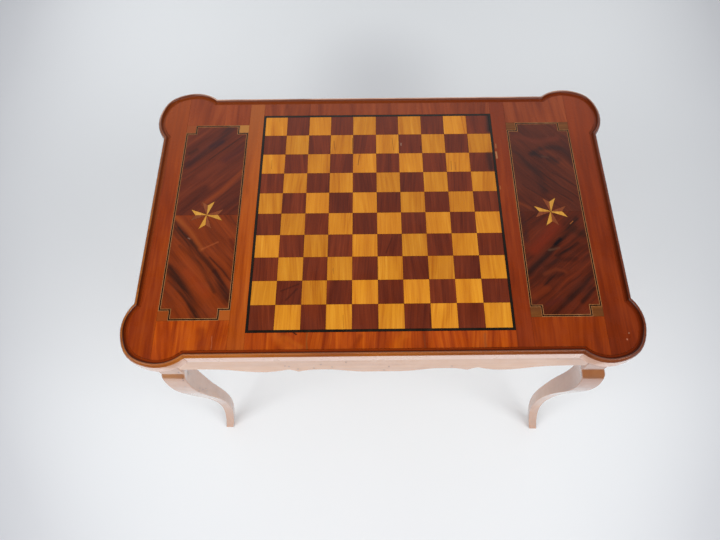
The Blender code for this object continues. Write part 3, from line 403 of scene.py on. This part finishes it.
class Shade:
    """A material being built: each method adds a node and gives its output."""

    def __init__(self, name):
        self.material = bpy.data.materials.new(name)
        self.material.use_nodes = True
        self.tree = self.material.node_tree
        self.shader = self.tree.nodes["Principled BSDF"]
        self.place = self.add("ShaderNodeTexCoord").outputs["Object"]

    def add(self, kind, **settings):
        node = self.tree.nodes.new(kind)
        for key, value in settings.items():
            setattr(node, key, value)
        return node

    def feed(self, socket, value):
        """Links an output to a socket, or sets the socket's own value."""
        if isinstance(value, bpy.types.NodeSocket):
            self.tree.links.new(value, socket)
        else:
            socket.default_value = value

    def math(self, operation, *values):
        node = self.add("ShaderNodeMath", operation=operation)
        for socket, value in zip(node.inputs, values):
            self.feed(socket, value)
        return node.outputs[0]

    def vector(self, operation, *values):
        node = self.add("ShaderNodeVectorMath", operation=operation)
        for socket, value in zip(node.inputs, values):
            self.feed(socket, value)
        return node.outputs["Value" if operation in ("LENGTH", "DISTANCE", "DOT_PRODUCT") else "Vector"]

    def split(self, value):
        node = self.add("ShaderNodeSeparateXYZ")
        self.feed(node.inputs[0], value)
        return node.outputs[0], node.outputs[1], node.outputs[2]

    def join(self, x, y, z):
        node = self.add("ShaderNodeCombineXYZ")
        for socket, value in zip(node.inputs, (x, y, z)):
            self.feed(socket, value)
        return node.outputs[0]

    def noise(self, place, scale=1.0, detail=2.0, rough=0.5, twist=0.0):
        node = self.add("ShaderNodeTexNoise")
        self.feed(node.inputs["Vector"], place)
        wanted = (("Scale", scale), ("Detail", detail), ("Roughness", rough), ("Distortion", twist))
        for key, value in wanted:
            node.inputs[key].default_value = value
        return node.outputs["Fac"]

    def chance(self, place):
        """A number from 0 to 1 that is unlike at each place."""
        node = self.add("ShaderNodeTexWhiteNoise", noise_dimensions="3D")
        self.feed(node.inputs["Vector"], place)
        return node.outputs["Value"]

    def ramp(self, value, stops):
        node = self.add("ShaderNodeValToRGB")
        self.feed(node.inputs[0], value)
        stripe = node.color_ramp
        while len(stripe.elements) < len(stops):
            stripe.elements.new(1.0)
        for element, (at, colour) in zip(stripe.elements, stops):
            element.position = at
            element.color = colour
        return node.outputs[0]

    def mix(self, share, first, second, way="MIX"):
        """Two colours mixed. Sockets 6 and 7 and output 2 are the node's colour ones."""
        node = self.add("ShaderNodeMix", data_type="RGBA", blend_type=way)
        self.feed(node.inputs[0], share)
        self.feed(node.inputs[6], first)
        self.feed(node.inputs[7], second)
        return node.outputs[2]

    def spread(self, value, low, high, to_low=0.0, to_high=1.0):
        """A value taken from one range to another with soft ends."""
        node = self.add("ShaderNodeMapRange", interpolation_type="SMOOTHSTEP")
        for socket, number in zip(node.inputs, (value, low, high, to_low, to_high)):
            self.feed(socket, number)
        return node.outputs[0]

    def fade(self, value, low, high, most=1.0):
        """The most up to one value, and nothing from another on."""
        return self.spread(value, low, high, most, 0.0)

    def centred(self, value, reach):
        """A noise or chance of 0 to 1 as an amount to both sides of nothing."""
        return self.math("MULTIPLY", self.math("SUBTRACT", value, 0.5), reach)

    def ridge(self, value, rise, fall, after=0.0):
        """0, then 1 between two soft steps, then what comes after."""
        return self.math("MULTIPLY", self.spread(value, *rise), self.spread(value, *fall, 1.0, after))

    def gray(self, value):
        return self.join(value, value, value)

    def lit(self, colour, luck, reach, least):
        """The colour made lighter or darker by a piece's own chance."""
        level = self.math("MULTIPLY_ADD", luck, reach, least)
        return self.mix(1.0, colour, self.gray(level), "MULTIPLY")

    def grain(self, place, along, width, length, detail=3.0, twist=0.0):
        """Noise drawn out along one axis."""
        scale = [1 / width] * 3
        scale[along] = 1 / length
        return self.noise(self.vector("MULTIPLY", place, scale), 1.0, detail, 0.55, twist)

    def finish(self, colour, height, rough, bump, depth=0.0004, sockets=(), coated=False):
        """Feeds the shader: colour, cloudy roughness, a bump that the coat may share, and other values."""
        cloud = self.noise(self.place, 22.0, 3.0, 0.6)
        self.feed(self.shader.inputs["Roughness"], self.spread(cloud, 0.3, 0.7, *rough))
        self.feed(self.shader.inputs["Base Color"], colour)
        if bump:
            node = self.add("ShaderNodeBump")
            node.inputs["Strength"].default_value = bump
            node.inputs["Distance"].default_value = depth
            self.feed(node.inputs["Height"], height)
            self.feed(self.shader.inputs["Normal"], node.outputs[0])
            if coated:
                self.feed(self.shader.inputs["Coat Normal"], node.outputs[0])
        for name, value in sockets:
            self.shader.inputs[name].default_value = value
        return self.material


def summed(shade, parts, shares):
    """The parts added up, each by its share."""
    total = shade.math("MULTIPLY", parts[0], shares[0])
    for part, share in zip(parts[1:], shares[1:]):
        total = shade.math("MULTIPLY_ADD", part, share, total)
    return total


def timber(shade, place, along, colours, spans=WOOD_SPANS, shares=WOOD_SHARES, reach=0.28):
    """Wood colour and height from broad streaks, growth lines and fibres."""
    lengths = [span * stretch for span, stretch in zip(spans, WOOD_STRETCH)]
    broad = shade.grain(place, along, spans[0], lengths[0], 3.0, 0.5)
    lines = shade.grain(place, along, spans[1], lengths[1], 3.0, 0.25)
    fibre = shade.grain(place, along, spans[2], lengths[2], 2.0)
    total = summed(shade, (broad, lines, fibre), shares)
    steps = len(colours) - 1
    stops = [(0.5 + reach * (at / steps - 0.5), tint(*colour)) for at, colour in enumerate(colours)]
    colour = shade.ramp(total, stops)
    return colour, fibre


def chequer_wood():
    """Light and dark squares by turns, each its own piece of wood, with cracks in the light ones."""
    shade = Shade("chequer_wood")
    x, y, _ = shade.split(shade.place)
    column, row = 0.0, 0.0
    for share in COLUMN_SHARES:
        column = shade.math("ADD", shade.math("GREATER_THAN", x, INLAY_SHIFT + share * BOARD_LONG), column)
    for share in ROW_SHARES:
        row = shade.math("ADD", shade.math("LESS_THAN", y, share * BOARD_HALF), row)
    odd = shade.math("MODULO", shade.math("ADD", column, row), 2.0)
    luck = shade.chance(shade.join(column, row, 0.5))
    other = shade.chance(shade.join(column, row, 7.5))
    lean = shade.centred(other, SQUARE_LEAN)
    slid = shade.math("MULTIPLY_ADD", y, lean, x)
    place = shade.join(slid, y, shade.math("MULTIPLY", luck, SQUARE_APART))
    tones = ((180, 99, 19), (200, 121, 27), (214, 136, 33), (226, 152, 46))
    light, fibre = timber(shade, place, 1, tones, LIGHT_SPANS, LIGHT_SHARES, reach=0.3)
    golden = shade.mix(shade.spread(y, -BOARD_HALF, 0.0), NEAR_GOLDEN, WHITE)
    light = shade.mix(1.0, light, golden, "MULTIPLY")
    tones = ((84, 30, 17), (102, 39, 20), (116, 46, 22), (132, 55, 27))
    dark, _ = timber(shade, place, 1, tones, DARK_SPANS, DARK_SHARES, reach=0.3)
    crack = shade.spread(shade.grain(place, 1, CRACK_WIDTH, CRACK_LENGTH, 2.0), *CRACK_FROM)
    crack = shade.math("MULTIPLY", crack, shade.spread(shade.noise(place, 30.0), *CRACK_PATCHES))
    light = shade.mix(crack, light, tint(*CRACK_TONE))
    colour = shade.mix(odd, light, dark)
    colour = shade.lit(colour, luck, *SQUARE_LIGHT)
    colour = marked(shade, shade.place, colour, TOP_MARKS["chequer_wood"])
    return shade.finish(colour, fibre, VARNISH, bump=0.08, sockets=GLOSS)


def plain_wood(name, along, colours, far=(0, 0, 0), share=0.0, marks=()):
    """Straight-grained wood that may turn toward another tone at the back."""
    shade = Shade(name)
    colour, fibre = timber(shade, shade.place, along, colours)
    if share:
        _, y, _ = shade.split(shade.place)
        colour = shade.mix(shade.spread(y, -0.05, HALF_DEPTH, 0.0, share), colour, tint(*far))
    colour = marked(shade, shade.place, colour, marks)
    return shade.finish(colour, fibre, rough=(0.22, 0.36), bump=0.1, sockets=GLOSS)


def rim_depth(shade, x, y):
    """How far in from the top's outer edge a place lies, the ears taken in."""
    ax = shade.math("ABSOLUTE", x)
    ay = shade.math("ABSOLUTE", y)
    from_side = shade.math("SUBTRACT", HALF_LENGTH, ax)
    flat = shade.math("MINIMUM", from_side, shade.math("SUBTRACT", HALF_DEPTH, ay))
    out_x = shade.math("SUBTRACT", ax, HALF_LENGTH - EAR_INSET)
    out_y = shade.math("SUBTRACT", ay, HALF_DEPTH - EAR_INSET)
    away = shade.vector("LENGTH", shade.join(out_x, out_y, 0.0))
    corner = shade.math("GREATER_THAN", shade.math("MINIMUM", out_x, out_y), 0.0)
    flat = shade.math("SUBTRACT", flat, corner)
    turn = shade.math("DIVIDE", shade.math("MULTIPLY", out_x, out_y), shade.math("MULTIPLY", away, away))
    full = shade.math("POWER", shade.math("MAXIMUM", shade.math("MULTIPLY", turn, 2.0), 0.0), 4.0)
    reach = shade.math("MULTIPLY_ADD", full, EAR_FULLNESS, EAR_RADIUS)
    return shade.math("MAXIMUM", flat, shade.math("SUBTRACT", reach, away))


def rim_wood():
    """A polished moulding with dirt and painted shade in its quirk, a painted highlight on its crest behind,
    and outer faces painted paler with part of their reflection.
    """
    shade = Shade("rim_wood")
    x, y, z = shade.split(shade.place)
    tones = ((138, 68, 18), (162, 88, 24), (180, 106, 32))
    warm, _ = timber(shade, shade.place, 0, tones, RIM_SPANS)
    tones = ((92, 38, 18), (112, 50, 24), (130, 62, 32))
    cool, _ = timber(shade, shade.place, 0, tones, RIM_SPANS)
    across = shade.spread(shade.math("MULTIPLY_ADD", x, RIM_SLANT, y), *RIM_COOLS)
    colour = shade.mix(across, warm, cool)
    depth = rim_depth(shade, x, y)
    back = shade.spread(y, *RIM_TURNS_BACK)
    far = shade.spread(y, *RIM_TURNS_FAR)
    right = shade.spread(x, *RIM_TURNS_RIGHT)
    # Painted highlight: a pale tone along the bead's crest behind, broken into patches.
    crest_highlight = shade.ridge(depth, CREST_STARTS, CREST_ENDS)
    highlight_patches = shade.spread(shade.noise(shade.place, 9.0, 2.0), *CREST_HIGHLIGHT_PATCHES)
    crest_highlight = shade.math("MULTIPLY", crest_highlight, shade.math("MULTIPLY", highlight_patches, far))
    colour = shade.mix(crest_highlight, colour, tint(*CREST_HIGHLIGHT_TONE))
    near_ground = shade.mix(right, tint(152, 56, 5), tint(124, 42, 5))
    back_ground = shade.mix(right, tint(146, 66, 24), tint(130, 52, 18))
    inner = shade.spread(depth, *INNER_STARTS)
    colour = shade.mix(inner, colour, shade.mix(back, near_ground, back_ground))
    # Dirt and painted shade: dark in the quirk, fading inward, stronger in front than behind.
    dirt_and_shade = shade.ridge(depth, QUIRK_STARTS, QUIRK_ENDS, DIRT_SHADE_AFTER)
    dirt_and_shade = shade.math("MULTIPLY", dirt_and_shade, shade.spread(depth, *DIRT_SHADE_ENDS, 1.0, DIRT_SHADE_INSIDE))
    less = shade.math("MULTIPLY_ADD", back, -DIRT_SHADE_LESS_BEHIND, DIRT_SHADE_IN_FRONT)
    dirt_and_shade = shade.math("MULTIPLY", dirt_and_shade, less)
    colour = shade.mix(dirt_and_shade, colour, tint(*DIRT_SHADE_TONE))
    # The outer face's tone is painted paler: its wood with part of its reflection of the pale floor painted
    # in.
    face = shade.fade(depth, *FACE_ENDS)
    face = shade.math("MULTIPLY", face, shade.math("LESS_THAN", z, FACE_BELOW))
    colour = shade.mix(face, colour, tint(*FACE_REFLECTION_TONE))
    sockets = shade.shader.inputs
    specular = shade.math("MULTIPLY_ADD", inner, -INNER_LESS, RIM_SPECULAR)
    shade.feed(sockets["Specular IOR Level"], specular)
    shine = shade.math("MULTIPLY", shade.fade(depth, *SHINE_ENDS, SHINE_MOST), back)
    coat = shade.math("MULTIPLY_ADD", face, 1 - COAT_LEAST, COAT_LEAST)
    shade.feed(sockets["Coat Weight"], shade.math("MAXIMUM", coat, shine))
    bead = shade.spread(depth, 0.0, BEAD_REACH, 0.0, BEAD_HIGH)
    bead = shade.math("MULTIPLY", bead, shade.math("SUBTRACT", 1.0, far))
    return shade.finish(colour, bead, (0.26, 0.36), bump=1.0, depth=1.0, sockets=POLISHED, coated=True)


def band_wood(name, colours):
    """Cross-grained veneer laid in short leaves side by side."""
    shade = Shade(name)
    x, y, z = shade.split(shade.place)
    sway = shade.noise(shade.join(x, 0.0, 0.0), 14.0, 1.0)
    leaf = shade.math("FLOOR", shade.math("MULTIPLY_ADD", x, BAND_LEAVES, sway))
    luck = shade.chance(shade.join(leaf, shade.math("SIGN", y), 1.5))
    lean = shade.centred(luck, BAND_LEAN)
    slid = shade.math("MULTIPLY_ADD", y, lean, x)
    place = shade.join(slid, y, shade.math("MULTIPLY", luck, BAND_APART))
    colour, fibre = timber(shade, place, 1, colours, BAND_SPANS, reach=0.26)
    colour = shade.lit(colour, luck, *BAND_LIGHT)
    wave = shade.centred(shade.noise(shade.place, 40.0, 3.0), MARK_WAVE)
    place = shade.join(shade.math("ADD", x, wave), shade.math("ADD", y, wave), z)
    colour = marked(shade, place, colour, TOP_MARKS.get(name, ()), shade.noise(place, 60.0, 2.0))
    return shade.finish(colour, fibre, VARNISH, bump=0.08, sockets=GLOSS)


def streak(shade, place, path, width):
    """A soft mask along a path of pixels that lies on the table's top."""
    spots = [seen_on(pixel, 2, FIELD) for pixel in path]
    nearest = 1.0
    for low, high in zip(spots, spots[1:]):
        way = high - low
        away = shade.vector("SUBTRACT", place, tuple(low))
        part = shade.vector("DOT_PRODUCT", away, tuple(way / way.length_squared))
        part = shade.math("MINIMUM", shade.math("MAXIMUM", part, 0.0), 1.0)
        foot = shade.vector("MULTIPLY", shade.gray(part), tuple(way))
        nearest = shade.math("MINIMUM", nearest, shade.vector("DISTANCE", away, foot))
    return shade.fade(nearest, width * MARK_CORE, width * MARK_REACH)


def marked(shade, place, colour, marks, lines=None):
    """The colour with marks laid over it, the wide ones broken up by the growth lines."""
    for path, width, level, share in marks:
        mask = streak(shade, place, path, width)
        if lines and width > FINE_STREAK:
            mask = shade.math("MULTIPLY", mask, shade.spread(lines, *MARK_BREAKS))
        colour = shade.mix(shade.math("MULTIPLY", mask, share), colour, tint(*level))
    return colour


def walnut(name, line, bend, colours, streaks):
    """A leaf whose grain follows the line between two pixels, with its own darker and lighter streaks."""
    shade = Shade(name)
    x, y, _ = shade.split(shade.place)
    way = (seen_on(line[1], 2, FIELD) - seen_on(line[0], 2, FIELD)).normalized()
    cloud = shade.noise(shade.place, 13.0, 2.0, 0.5, 0.4)
    curl = shade.centred(cloud, bend)
    along = shade.vector("DOT_PRODUCT", shade.place, tuple(way))
    across = shade.math("ADD", shade.vector("DOT_PRODUCT", shade.place, (-way.y, way.x, 0.0)), curl)
    grained = shade.join(along, across, 0.0)
    broad, lines, fibre = (shade.grain(grained, 0, *grain) for grain in WALNUT_GRAINS)
    total = summed(shade, (broad, lines, fibre), WALNUT_SHARES)
    colour = shade.ramp(total, [(at, tint(*level)) for at, level in zip(WALNUT_STOPS, colours)])
    warped = shade.join(shade.math("ADD", curl, x), shade.math("ADD", curl, y), FIELD)
    colour = marked(shade, warped, colour, streaks, lines)
    return shade.finish(colour, fibre, VARNISH, bump=0.05, sockets=GLOSS)


def cross_wood():
    """Eight facets, light and brown by turns round the centre."""
    shade = Shade("cross_wood")
    x, y, _ = shade.split(shade.place)
    side = shade.math("SIGN", x)
    middle = shade.math("MULTIPLY_ADD", side, PANEL_MIDDLE, INLAY_SHIFT)
    angle = shade.math("ARCTAN2", y, shade.math("SUBTRACT", x, middle))
    turn = shade.math("FLOOR", shade.math("DIVIDE", angle, math.pi / 4))
    odd = shade.math("FLOORED_MODULO", turn, 2.0)
    luck = shade.chance(shade.join(turn, side, 0.5))
    tones = ((196, 132, 44), (214, 152, 58), (226, 168, 76))
    light, fibre = timber(shade, shade.place, 1, tones, CROSS_SPANS)
    tones = ((118, 56, 30), (138, 70, 38), (150, 82, 44))
    dark, _ = timber(shade, shade.place, 1, tones, CROSS_SPANS)
    colour = shade.mix(odd, dark, light)
    colour = shade.lit(colour, luck, *FACET_LIGHT)
    return shade.finish(colour, fibre, VARNISH, bump=0.05, sockets=GLOSS)


def core_wood():
    """The solid board, with the panels' small corner squares at its surface."""
    shade = Shade("core_wood")
    x, y, z = shade.split(shade.place)
    board, fibre = timber(shade, shade.place, 0, ((128, 88, 52), (156, 110, 68), (176, 128, 84)))
    tones = ((96, 50, 15), (112, 62, 21), (126, 76, 30))
    square, _ = timber(shade, shade.place, 0, tones, CORNER_SPANS)
    left = shade.math("LESS_THAN", x, 0.0)
    back = shade.math("GREATER_THAN", y, 0.0)
    beside = shade.math("ABSOLUTE", shade.math("SUBTRACT", x, CORNER_MIDDLE))
    inner = shade.math("LESS_THAN", beside, CORNER_HALF)
    square = shade.mix(left, square, shade.mix(inner, tint(146, 64, 12), tint(170, 82, 15)))
    square = shade.mix(shade.math("MULTIPLY", left, back), square, tint(150, 72, 30))
    square = shade.mix(shade.math("MULTIPLY", inner, back), square, tint(182, 120, 54))
    top = shade.math("GREATER_THAN", z, CORNER_ABOVE)
    colour = shade.mix(top, board, square)
    return shade.finish(colour, fibre, rough=(0.3, 0.5), bump=0.1, sockets=GLOSS)


def stand_wood(name, along, colours, pixels=()):
    """Old waxed fruitwood with wormholes and darker pegs."""
    shade = Shade(name)
    colour, _ = timber(shade, shade.place, along, colours, STAND_SPANS, STAND_SHARES, reach=0.4)
    x, y, z = shade.split(shade.place)
    ax = shade.math("ABSOLUTE", x)
    ay = shade.math("ABSOLUTE", y)
    beside, heights = PEG_PLACES
    for across, middle in zip((ax, ay), beside):
        off = shade.math("SUBTRACT", across, middle)
        for height in heights:
            gap = shade.vector("LENGTH", shade.join(off, shade.math("SUBTRACT", z, height), 0.0))
            ring = shade.fade(gap, *PEG_RING, RING_DEEP)
            colour = shade.mix(ring, colour, tint(*RING_TONE))
    knee = shade.math("MULTIPLY", shade.spread(x, *KNEE_FROM_X), shade.spread(z, *KNEE_FROM_Z))
    right = shade.mix(knee, WHITE, KNEE_DARKER)
    colour = shade.mix(1.0, colour, right, "MULTIPLY")
    start = Vector(CAMERA_PLACE)
    away = shade.vector("SUBTRACT", shade.place, CAMERA_PLACE)
    near_face = shade.math("LESS_THAN", y, HOLES_BEFORE)
    holes = 0.0
    for pixel in pixels:
        sight = (seen_on(pixel, 2, 0.0) - start).normalized()
        gap = shade.vector("LENGTH", shade.vector("CROSS_PRODUCT", away, tuple(sight)))
        hole = shade.math("MULTIPLY", shade.fade(gap, *HOLE_EDGE, HOLE_DEEP), near_face)
        colour = shade.mix(hole, colour, tint(*HOLE_TONE))
        holes = shade.math("MAXIMUM", holes, hole)
    shade.feed(shade.shader.inputs["Coat Weight"], shade.math("SUBTRACT", 1.0, holes))
    dent = shade.noise(shade.place, 14.0, 1.0)
    return shade.finish(colour, dent, rough=(0.28, 0.4), bump=0.05, sockets=WAXED)


def baize():
    """Green cloth with a short nap."""
    shade = Shade("green_baize")
    fuzz = shade.noise(shade.place, 900.0, 3.0)
    colour = shade.ramp(fuzz, [(0.3, tint(30, 66, 38)), (0.7, tint(56, 100, 62))])
    return shade.finish(colour, fuzz, rough=(0.9, 0.98), bump=0.4, sockets=(("Sheen Weight", 0.4),))


def field_wood():
    """The dark ground of the well, with its points light and green-black by turns."""
    shade = Shade("field_wood")
    x, y, _ = shade.split(shade.place)
    ground, fibre = timber(shade, shade.place, 1, ((70, 40, 26), (96, 56, 36), (118, 72, 46)))
    tones = ((186, 142, 84), (206, 166, 104), (222, 186, 128))
    pale, _ = timber(shade, shade.place, 1, tones, SMALL_SPANS)
    deep, _ = timber(shade, shade.place, 1, ((26, 38, 28), (36, 52, 38), (48, 64, 48)), SMALL_SPANS)
    pitch = (POINT_END - BAR_HALF) / HALF_POINTS
    step = shade.math("DIVIDE", shade.math("SUBTRACT", shade.math("ABSOLUTE", x), BAR_HALF), pitch)
    place = shade.math("FLOOR", step)
    beside = shade.math("ABSOLUTE", shade.math("SUBTRACT", shade.math("FRACT", step), 0.5))
    ay = shade.math("ABSOLUTE", y)
    part = shade.math("DIVIDE", shade.math("SUBTRACT", ay, POINT_TIP), POINT_BASE - POINT_TIP)
    inside = shade.math("LESS_THAN", beside, shade.math("MULTIPLY", part, 0.5 * (1 - POINT_SPACE / pitch)))
    turned = shade.math("ADD", place, shade.math("GREATER_THAN", y, 0.0))
    turned = shade.math("ADD", turned, shade.math("GREATER_THAN", x, 0.0))
    point = shade.mix(shade.math("MODULO", turned, 2.0), pale, deep)
    colour = shade.mix(inside, ground, point)
    return shade.finish(colour, fibre, rough=(0.3, 0.45), bump=0.1, sockets=GLOSS)


def top_woods():
    """The woods of the marquetry, those of the right half darker and redder."""
    leaves = {
        "border_left": (((116, 36, 4), (140, 50, 6), (164, 68, 11)), (162, 78, 26), 0.5),
        "border_right": (((100, 32, 4), (121, 41, 6), (141, 53, 9)), (150, 62, 20), 0.45),
        "strip_left": (((146, 58, 4), (172, 76, 9), (190, 94, 20)), (166, 92, 42), 0.7),
        "strip_right": (((112, 37, 5), (134, 47, 8), (152, 60, 13)), (122, 48, 18), 0.5),
    }
    woods = {}
    for name, look in leaves.items():
        woods[name] = plain_wood(name + "_wood", 1, *look, TOP_MARKS.get(name, ()))
    bands = {
        "band_front": ((134, 44, 2), (168, 66, 4), (196, 90, 11)),
        "band_back": ((116, 44, 14), (137, 58, 22), (153, 70, 30)),
        "band_back_left": ((126, 48, 14), (147, 62, 23), (163, 75, 31)),
        "band_front_right": ((118, 40, 4), (142, 52, 6), (160, 66, 10)),
    }
    for name, colours in bands.items():
        woods[name] = band_wood(name, colours)
    for name, leaf in LEAVES.items():
        woods[name] = walnut(name + "_figure", *leaf)
    return woods


def dress():
    """Gives each node of the frame its finished material."""
    stand_tones = ((158, 100, 58), (178, 118, 71), (192, 133, 84))
    inner = plain_wood("rail_wood", 0, ((92, 48, 28), (120, 66, 38), (140, 82, 50)))
    apron_tones = ((180, 122, 75), (200, 140, 90), (213, 155, 104))
    long_apron = stand_wood("apron_wood", 0, apron_tones, APRON_HOLES)
    side_apron = stand_wood("side_apron_wood", 1, apron_tones)
    woods = {
        "rim_": rim_wood(), "leg_": stand_wood("leg_wood", 2, stand_tones, LEG_HOLES),
        "apron_front": long_apron, "apron_back": long_apron,
        "apron_left": side_apron, "apron_right": side_apron,
        "board_row": chequer_wood(), "cross_": cross_wood(), "well_rail": inner, "game_field": field_wood(),
        "partition_": plain_wood("partition_wood", 1, ((92, 48, 28), (124, 70, 40), (144, 86, 54))),
        "top_core": core_wood(), "baize_lining": baize(),
        "ebony_line": plain_wood("ebony", 1, ((20, 15, 11), (30, 22, 16), (40, 31, 23))),
        "well_bottom": plain_wood("bottom_board", 0, ((138, 100, 62), (168, 126, 84), (184, 144, 104))),
        "centre_bar": plain_wood("bar_wood", 1, ((44, 28, 20), (60, 38, 28), (76, 50, 38))),
        "string_light": plain_wood("string_light_wood", 1, ((142, 88, 46), (168, 111, 64), (188, 131, 82))),
        "string_dark": plain_wood("string_dark_wood", 1, ((22, 11, 6), (30, 15, 9), (38, 20, 13))),
        **top_woods(),
    }
    for name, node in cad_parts.items():
        kind = name
        if name.startswith("stringing"):
            kind = "string_dark" if name.endswith("dark") else "string_light"
        made = max((start for start in woods if kind.startswith(start)), key=len)
        node.data.materials.clear()
        node.data.materials.append(woods[made])


def smooth_nodes():
    """Welds the frame's loose facets and shades them as curved surfaces."""
    for name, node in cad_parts.items():
        if not name.startswith(("leg_", "rim_", "apron_")):
            continue
        weld = node.modifiers.new("weld", "WELD")
        weld.merge_threshold = WELD_REACH
        node.data.shade_smooth()
        bevel = node.modifiers.new("arris", "BEVEL")
        bevel.width = ARRIS
        bevel.segments = 2
        bevel.limit_method = "ANGLE"
        bevel.angle_limit = math.radians(ARRIS_ANGLE)
        bevel.harden_normals = True
        weigh = node.modifiers.new("flat_faces", "WEIGHTED_NORMAL")
        weigh.weight = 60


def make_floor():
    """A pale paper floor with a painted fall-off of light, darker to the sides and front and in a painted
    shadow behind the table, and a dark sheet before it that paints the unlit room's shade into reflections
    only.
    """
    floor = flat_sheet("floor", (-FLOOR_REACH, -FLOOR_REACH), (FLOOR_REACH, FLOOR_REACH), 0.0)
    shade = Shade("floor")
    x, y, _ = shade.split(shade.place)
    # Painted fall-off of light: darker toward the sides and far in front.
    wide = shade.math("MULTIPLY_ADD", shade.math("SUBTRACT", y, FLOOR_TRUE_AT), FLOOR_WIDENS, 1.0)
    wide = shade.math("SMOOTH_MIN", wide, FLOOR_WIDEST, FLOOR_EASE)
    off = shade.math("SUBTRACT", x, FLOOR_MIDDLE)
    side = shade.math("ABSOLUTE", shade.math("DIVIDE", off, wide))
    fall = shade.math("MULTIPLY_ADD", shade.math("POWER", side, FLOOR_POWER), FLOOR_PAINTED_FALL, FLOOR_START)
    fall = shade.math("ADD", fall, shade.fade(y, *FRONT_ENDS, FRONT_PAINTED_FALL))
    # Painted shadow of the table on the floor behind its middle.
    shadow_distance = shade.vector("DISTANCE", shade.place, PAINTED_SHADOW_PLACE)
    fall = shade.math("ADD", fall, shade.fade(shadow_distance, 0.0, PAINTED_SHADOW_REACH, PAINTED_SHADOW_FALL))
    fall = shade.math("MINIMUM", fall, FLOOR_MOST)
    cloud = shade.noise(shade.place, 1.5, 2.0)
    fall = shade.math("MULTIPLY_ADD", shade.math("SUBTRACT", cloud, 0.5), FLOOR_CLOUD, fall)
    colour = shade.ramp(fall, [(at, tint(*level)) for at, level in FLOOR_STOPS])
    shade.finish(colour, cloud, rough=(0.85, 0.95), bump=0.0, sockets=(("Specular IOR Level", 0.1),))
    floor.data.materials.append(shade.material)
    # A dark sheet where there is only the room's shade, painting that shade into reflections.
    room = flat_sheet("dark_room", ROOM_LOW, ROOM_HIGH, ROOM_RISE)
    shade = Shade("dark_room")
    cloud = shade.noise(shade.place, 3.0, 2.0)
    colour = shade.ramp(cloud, [(0.3, tint(40, 34, 32)), (0.7, tint(62, 54, 50))])
    shade.finish(colour, cloud, rough=(0.8, 0.9), bump=0.0, sockets=(("Specular IOR Level", 0.0),))
    room.data.materials.append(shade.material)
    room.visible_camera = False
    room.visible_diffuse = False
    room.visible_shadow = False
    room.visible_transmission = False


def flat_sheet(name, low, high, level):
    """A level rectangle that belongs to the stage."""
    mesh = bpy.data.meshes.new(name)
    outline = ((low[0], low[1]), (high[0], low[1]), (high[0], high[1]), (low[0], high[1]))
    corners = [(x, y, level) for x, y in outline]
    mesh.from_pydata(corners, [], [(0, 1, 2, 3)])
    sheet = bpy.data.objects.new(name, mesh)
    bpy.context.scene.collection.objects.link(sheet)
    return sheet


def lamp(name, place, target, size, power):
    """A rectangular lamp turned to its target."""
    data = bpy.data.lights.new(name, "AREA")
    data.shape = "RECTANGLE"
    data.size, data.size_y = size
    data.energy = power
    made = bpy.data.objects.new(name, data)
    made.location = place
    made.rotation_euler = (Vector(target) - Vector(place)).to_track_quat("-Z", "Y").to_euler()
    bpy.context.scene.collection.objects.link(made)
    return made


def sky_part(tree, source, low, high, to_low, to_high):
    """The studio's brightness from one direction to another."""
    node = tree.nodes.new("ShaderNodeMapRange")
    node.interpolation_type = "SMOOTHSTEP"
    tree.links.new(source, node.inputs[0])
    for socket, value in zip(node.inputs[1:5], (low, high, to_low, to_high)):
        socket.default_value = value
    return node.outputs[0]


def make_light():
    """Lamps at the sides, before and behind, and a studio that is pale behind the table and dark before it."""
    for name, place, power in SIDE_LAMPS:
        lamp(name, place, LAMP_AIM, LAMP_SIZE, power)
    for side, power in BACK_LAMPS:
        place, aim = ((side * spot[0], spot[1], spot[2]) for spot in (BACK_PLACE, BACK_AIM))
        back = lamp("lamp_back", place, aim, BACK_SIZE, power)
        back.data.spread = math.radians(BACK_SPREAD)
        back.visible_glossy = False
    lamp("lamp_front", FRONT_PLACE, LAMP_AIM, FRONT_SIZE, FRONT_POWER)
    world = bpy.data.worlds.new("studio")
    bpy.context.scene.world = world
    world.use_nodes = True
    tree = world.node_tree
    ground = tree.nodes["Background"]
    place = tree.nodes.new("ShaderNodeTexCoord")
    parts = tree.nodes.new("ShaderNodeSeparateXYZ")
    tree.links.new(place.outputs["Generated"], parts.inputs[0])
    behind = sky_part(tree, parts.outputs[1], *BACKDROP_FROM, ROOM_LEVEL, BACKDROP_LEVEL)
    rays = tree.nodes.new("ShaderNodeLightPath")
    shiny = tree.nodes.new("ShaderNodeMix")
    shiny.data_type = "FLOAT"
    tree.links.new(rays.outputs["Is Glossy Ray"], shiny.inputs[0])
    shiny.inputs[2].default_value = SKY_LEVEL
    tree.links.new(behind, shiny.inputs[3])
    tone = tree.nodes.new("ShaderNodeMix")
    tone.data_type = "RGBA"
    tone.blend_type = "MULTIPLY"
    tone.inputs[0].default_value = 1.0
    tree.links.new(shiny.outputs[0], tone.inputs[6])
    tone.inputs[7].default_value = SKY_TINT
    seen = tree.nodes.new("ShaderNodeMix")
    seen.data_type = "RGBA"
    tree.links.new(rays.outputs["Is Camera Ray"], seen.inputs[0])
    tree.links.new(tone.outputs[2], seen.inputs[6])
    seen.inputs[7].default_value = SKY_SEEN
    tree.links.new(seen.outputs[2], ground.inputs["Color"])
    bpy.context.scene.view_settings.view_transform = "Standard"


make_camera()
dress()
smooth_nodes()
make_floor()
make_light()
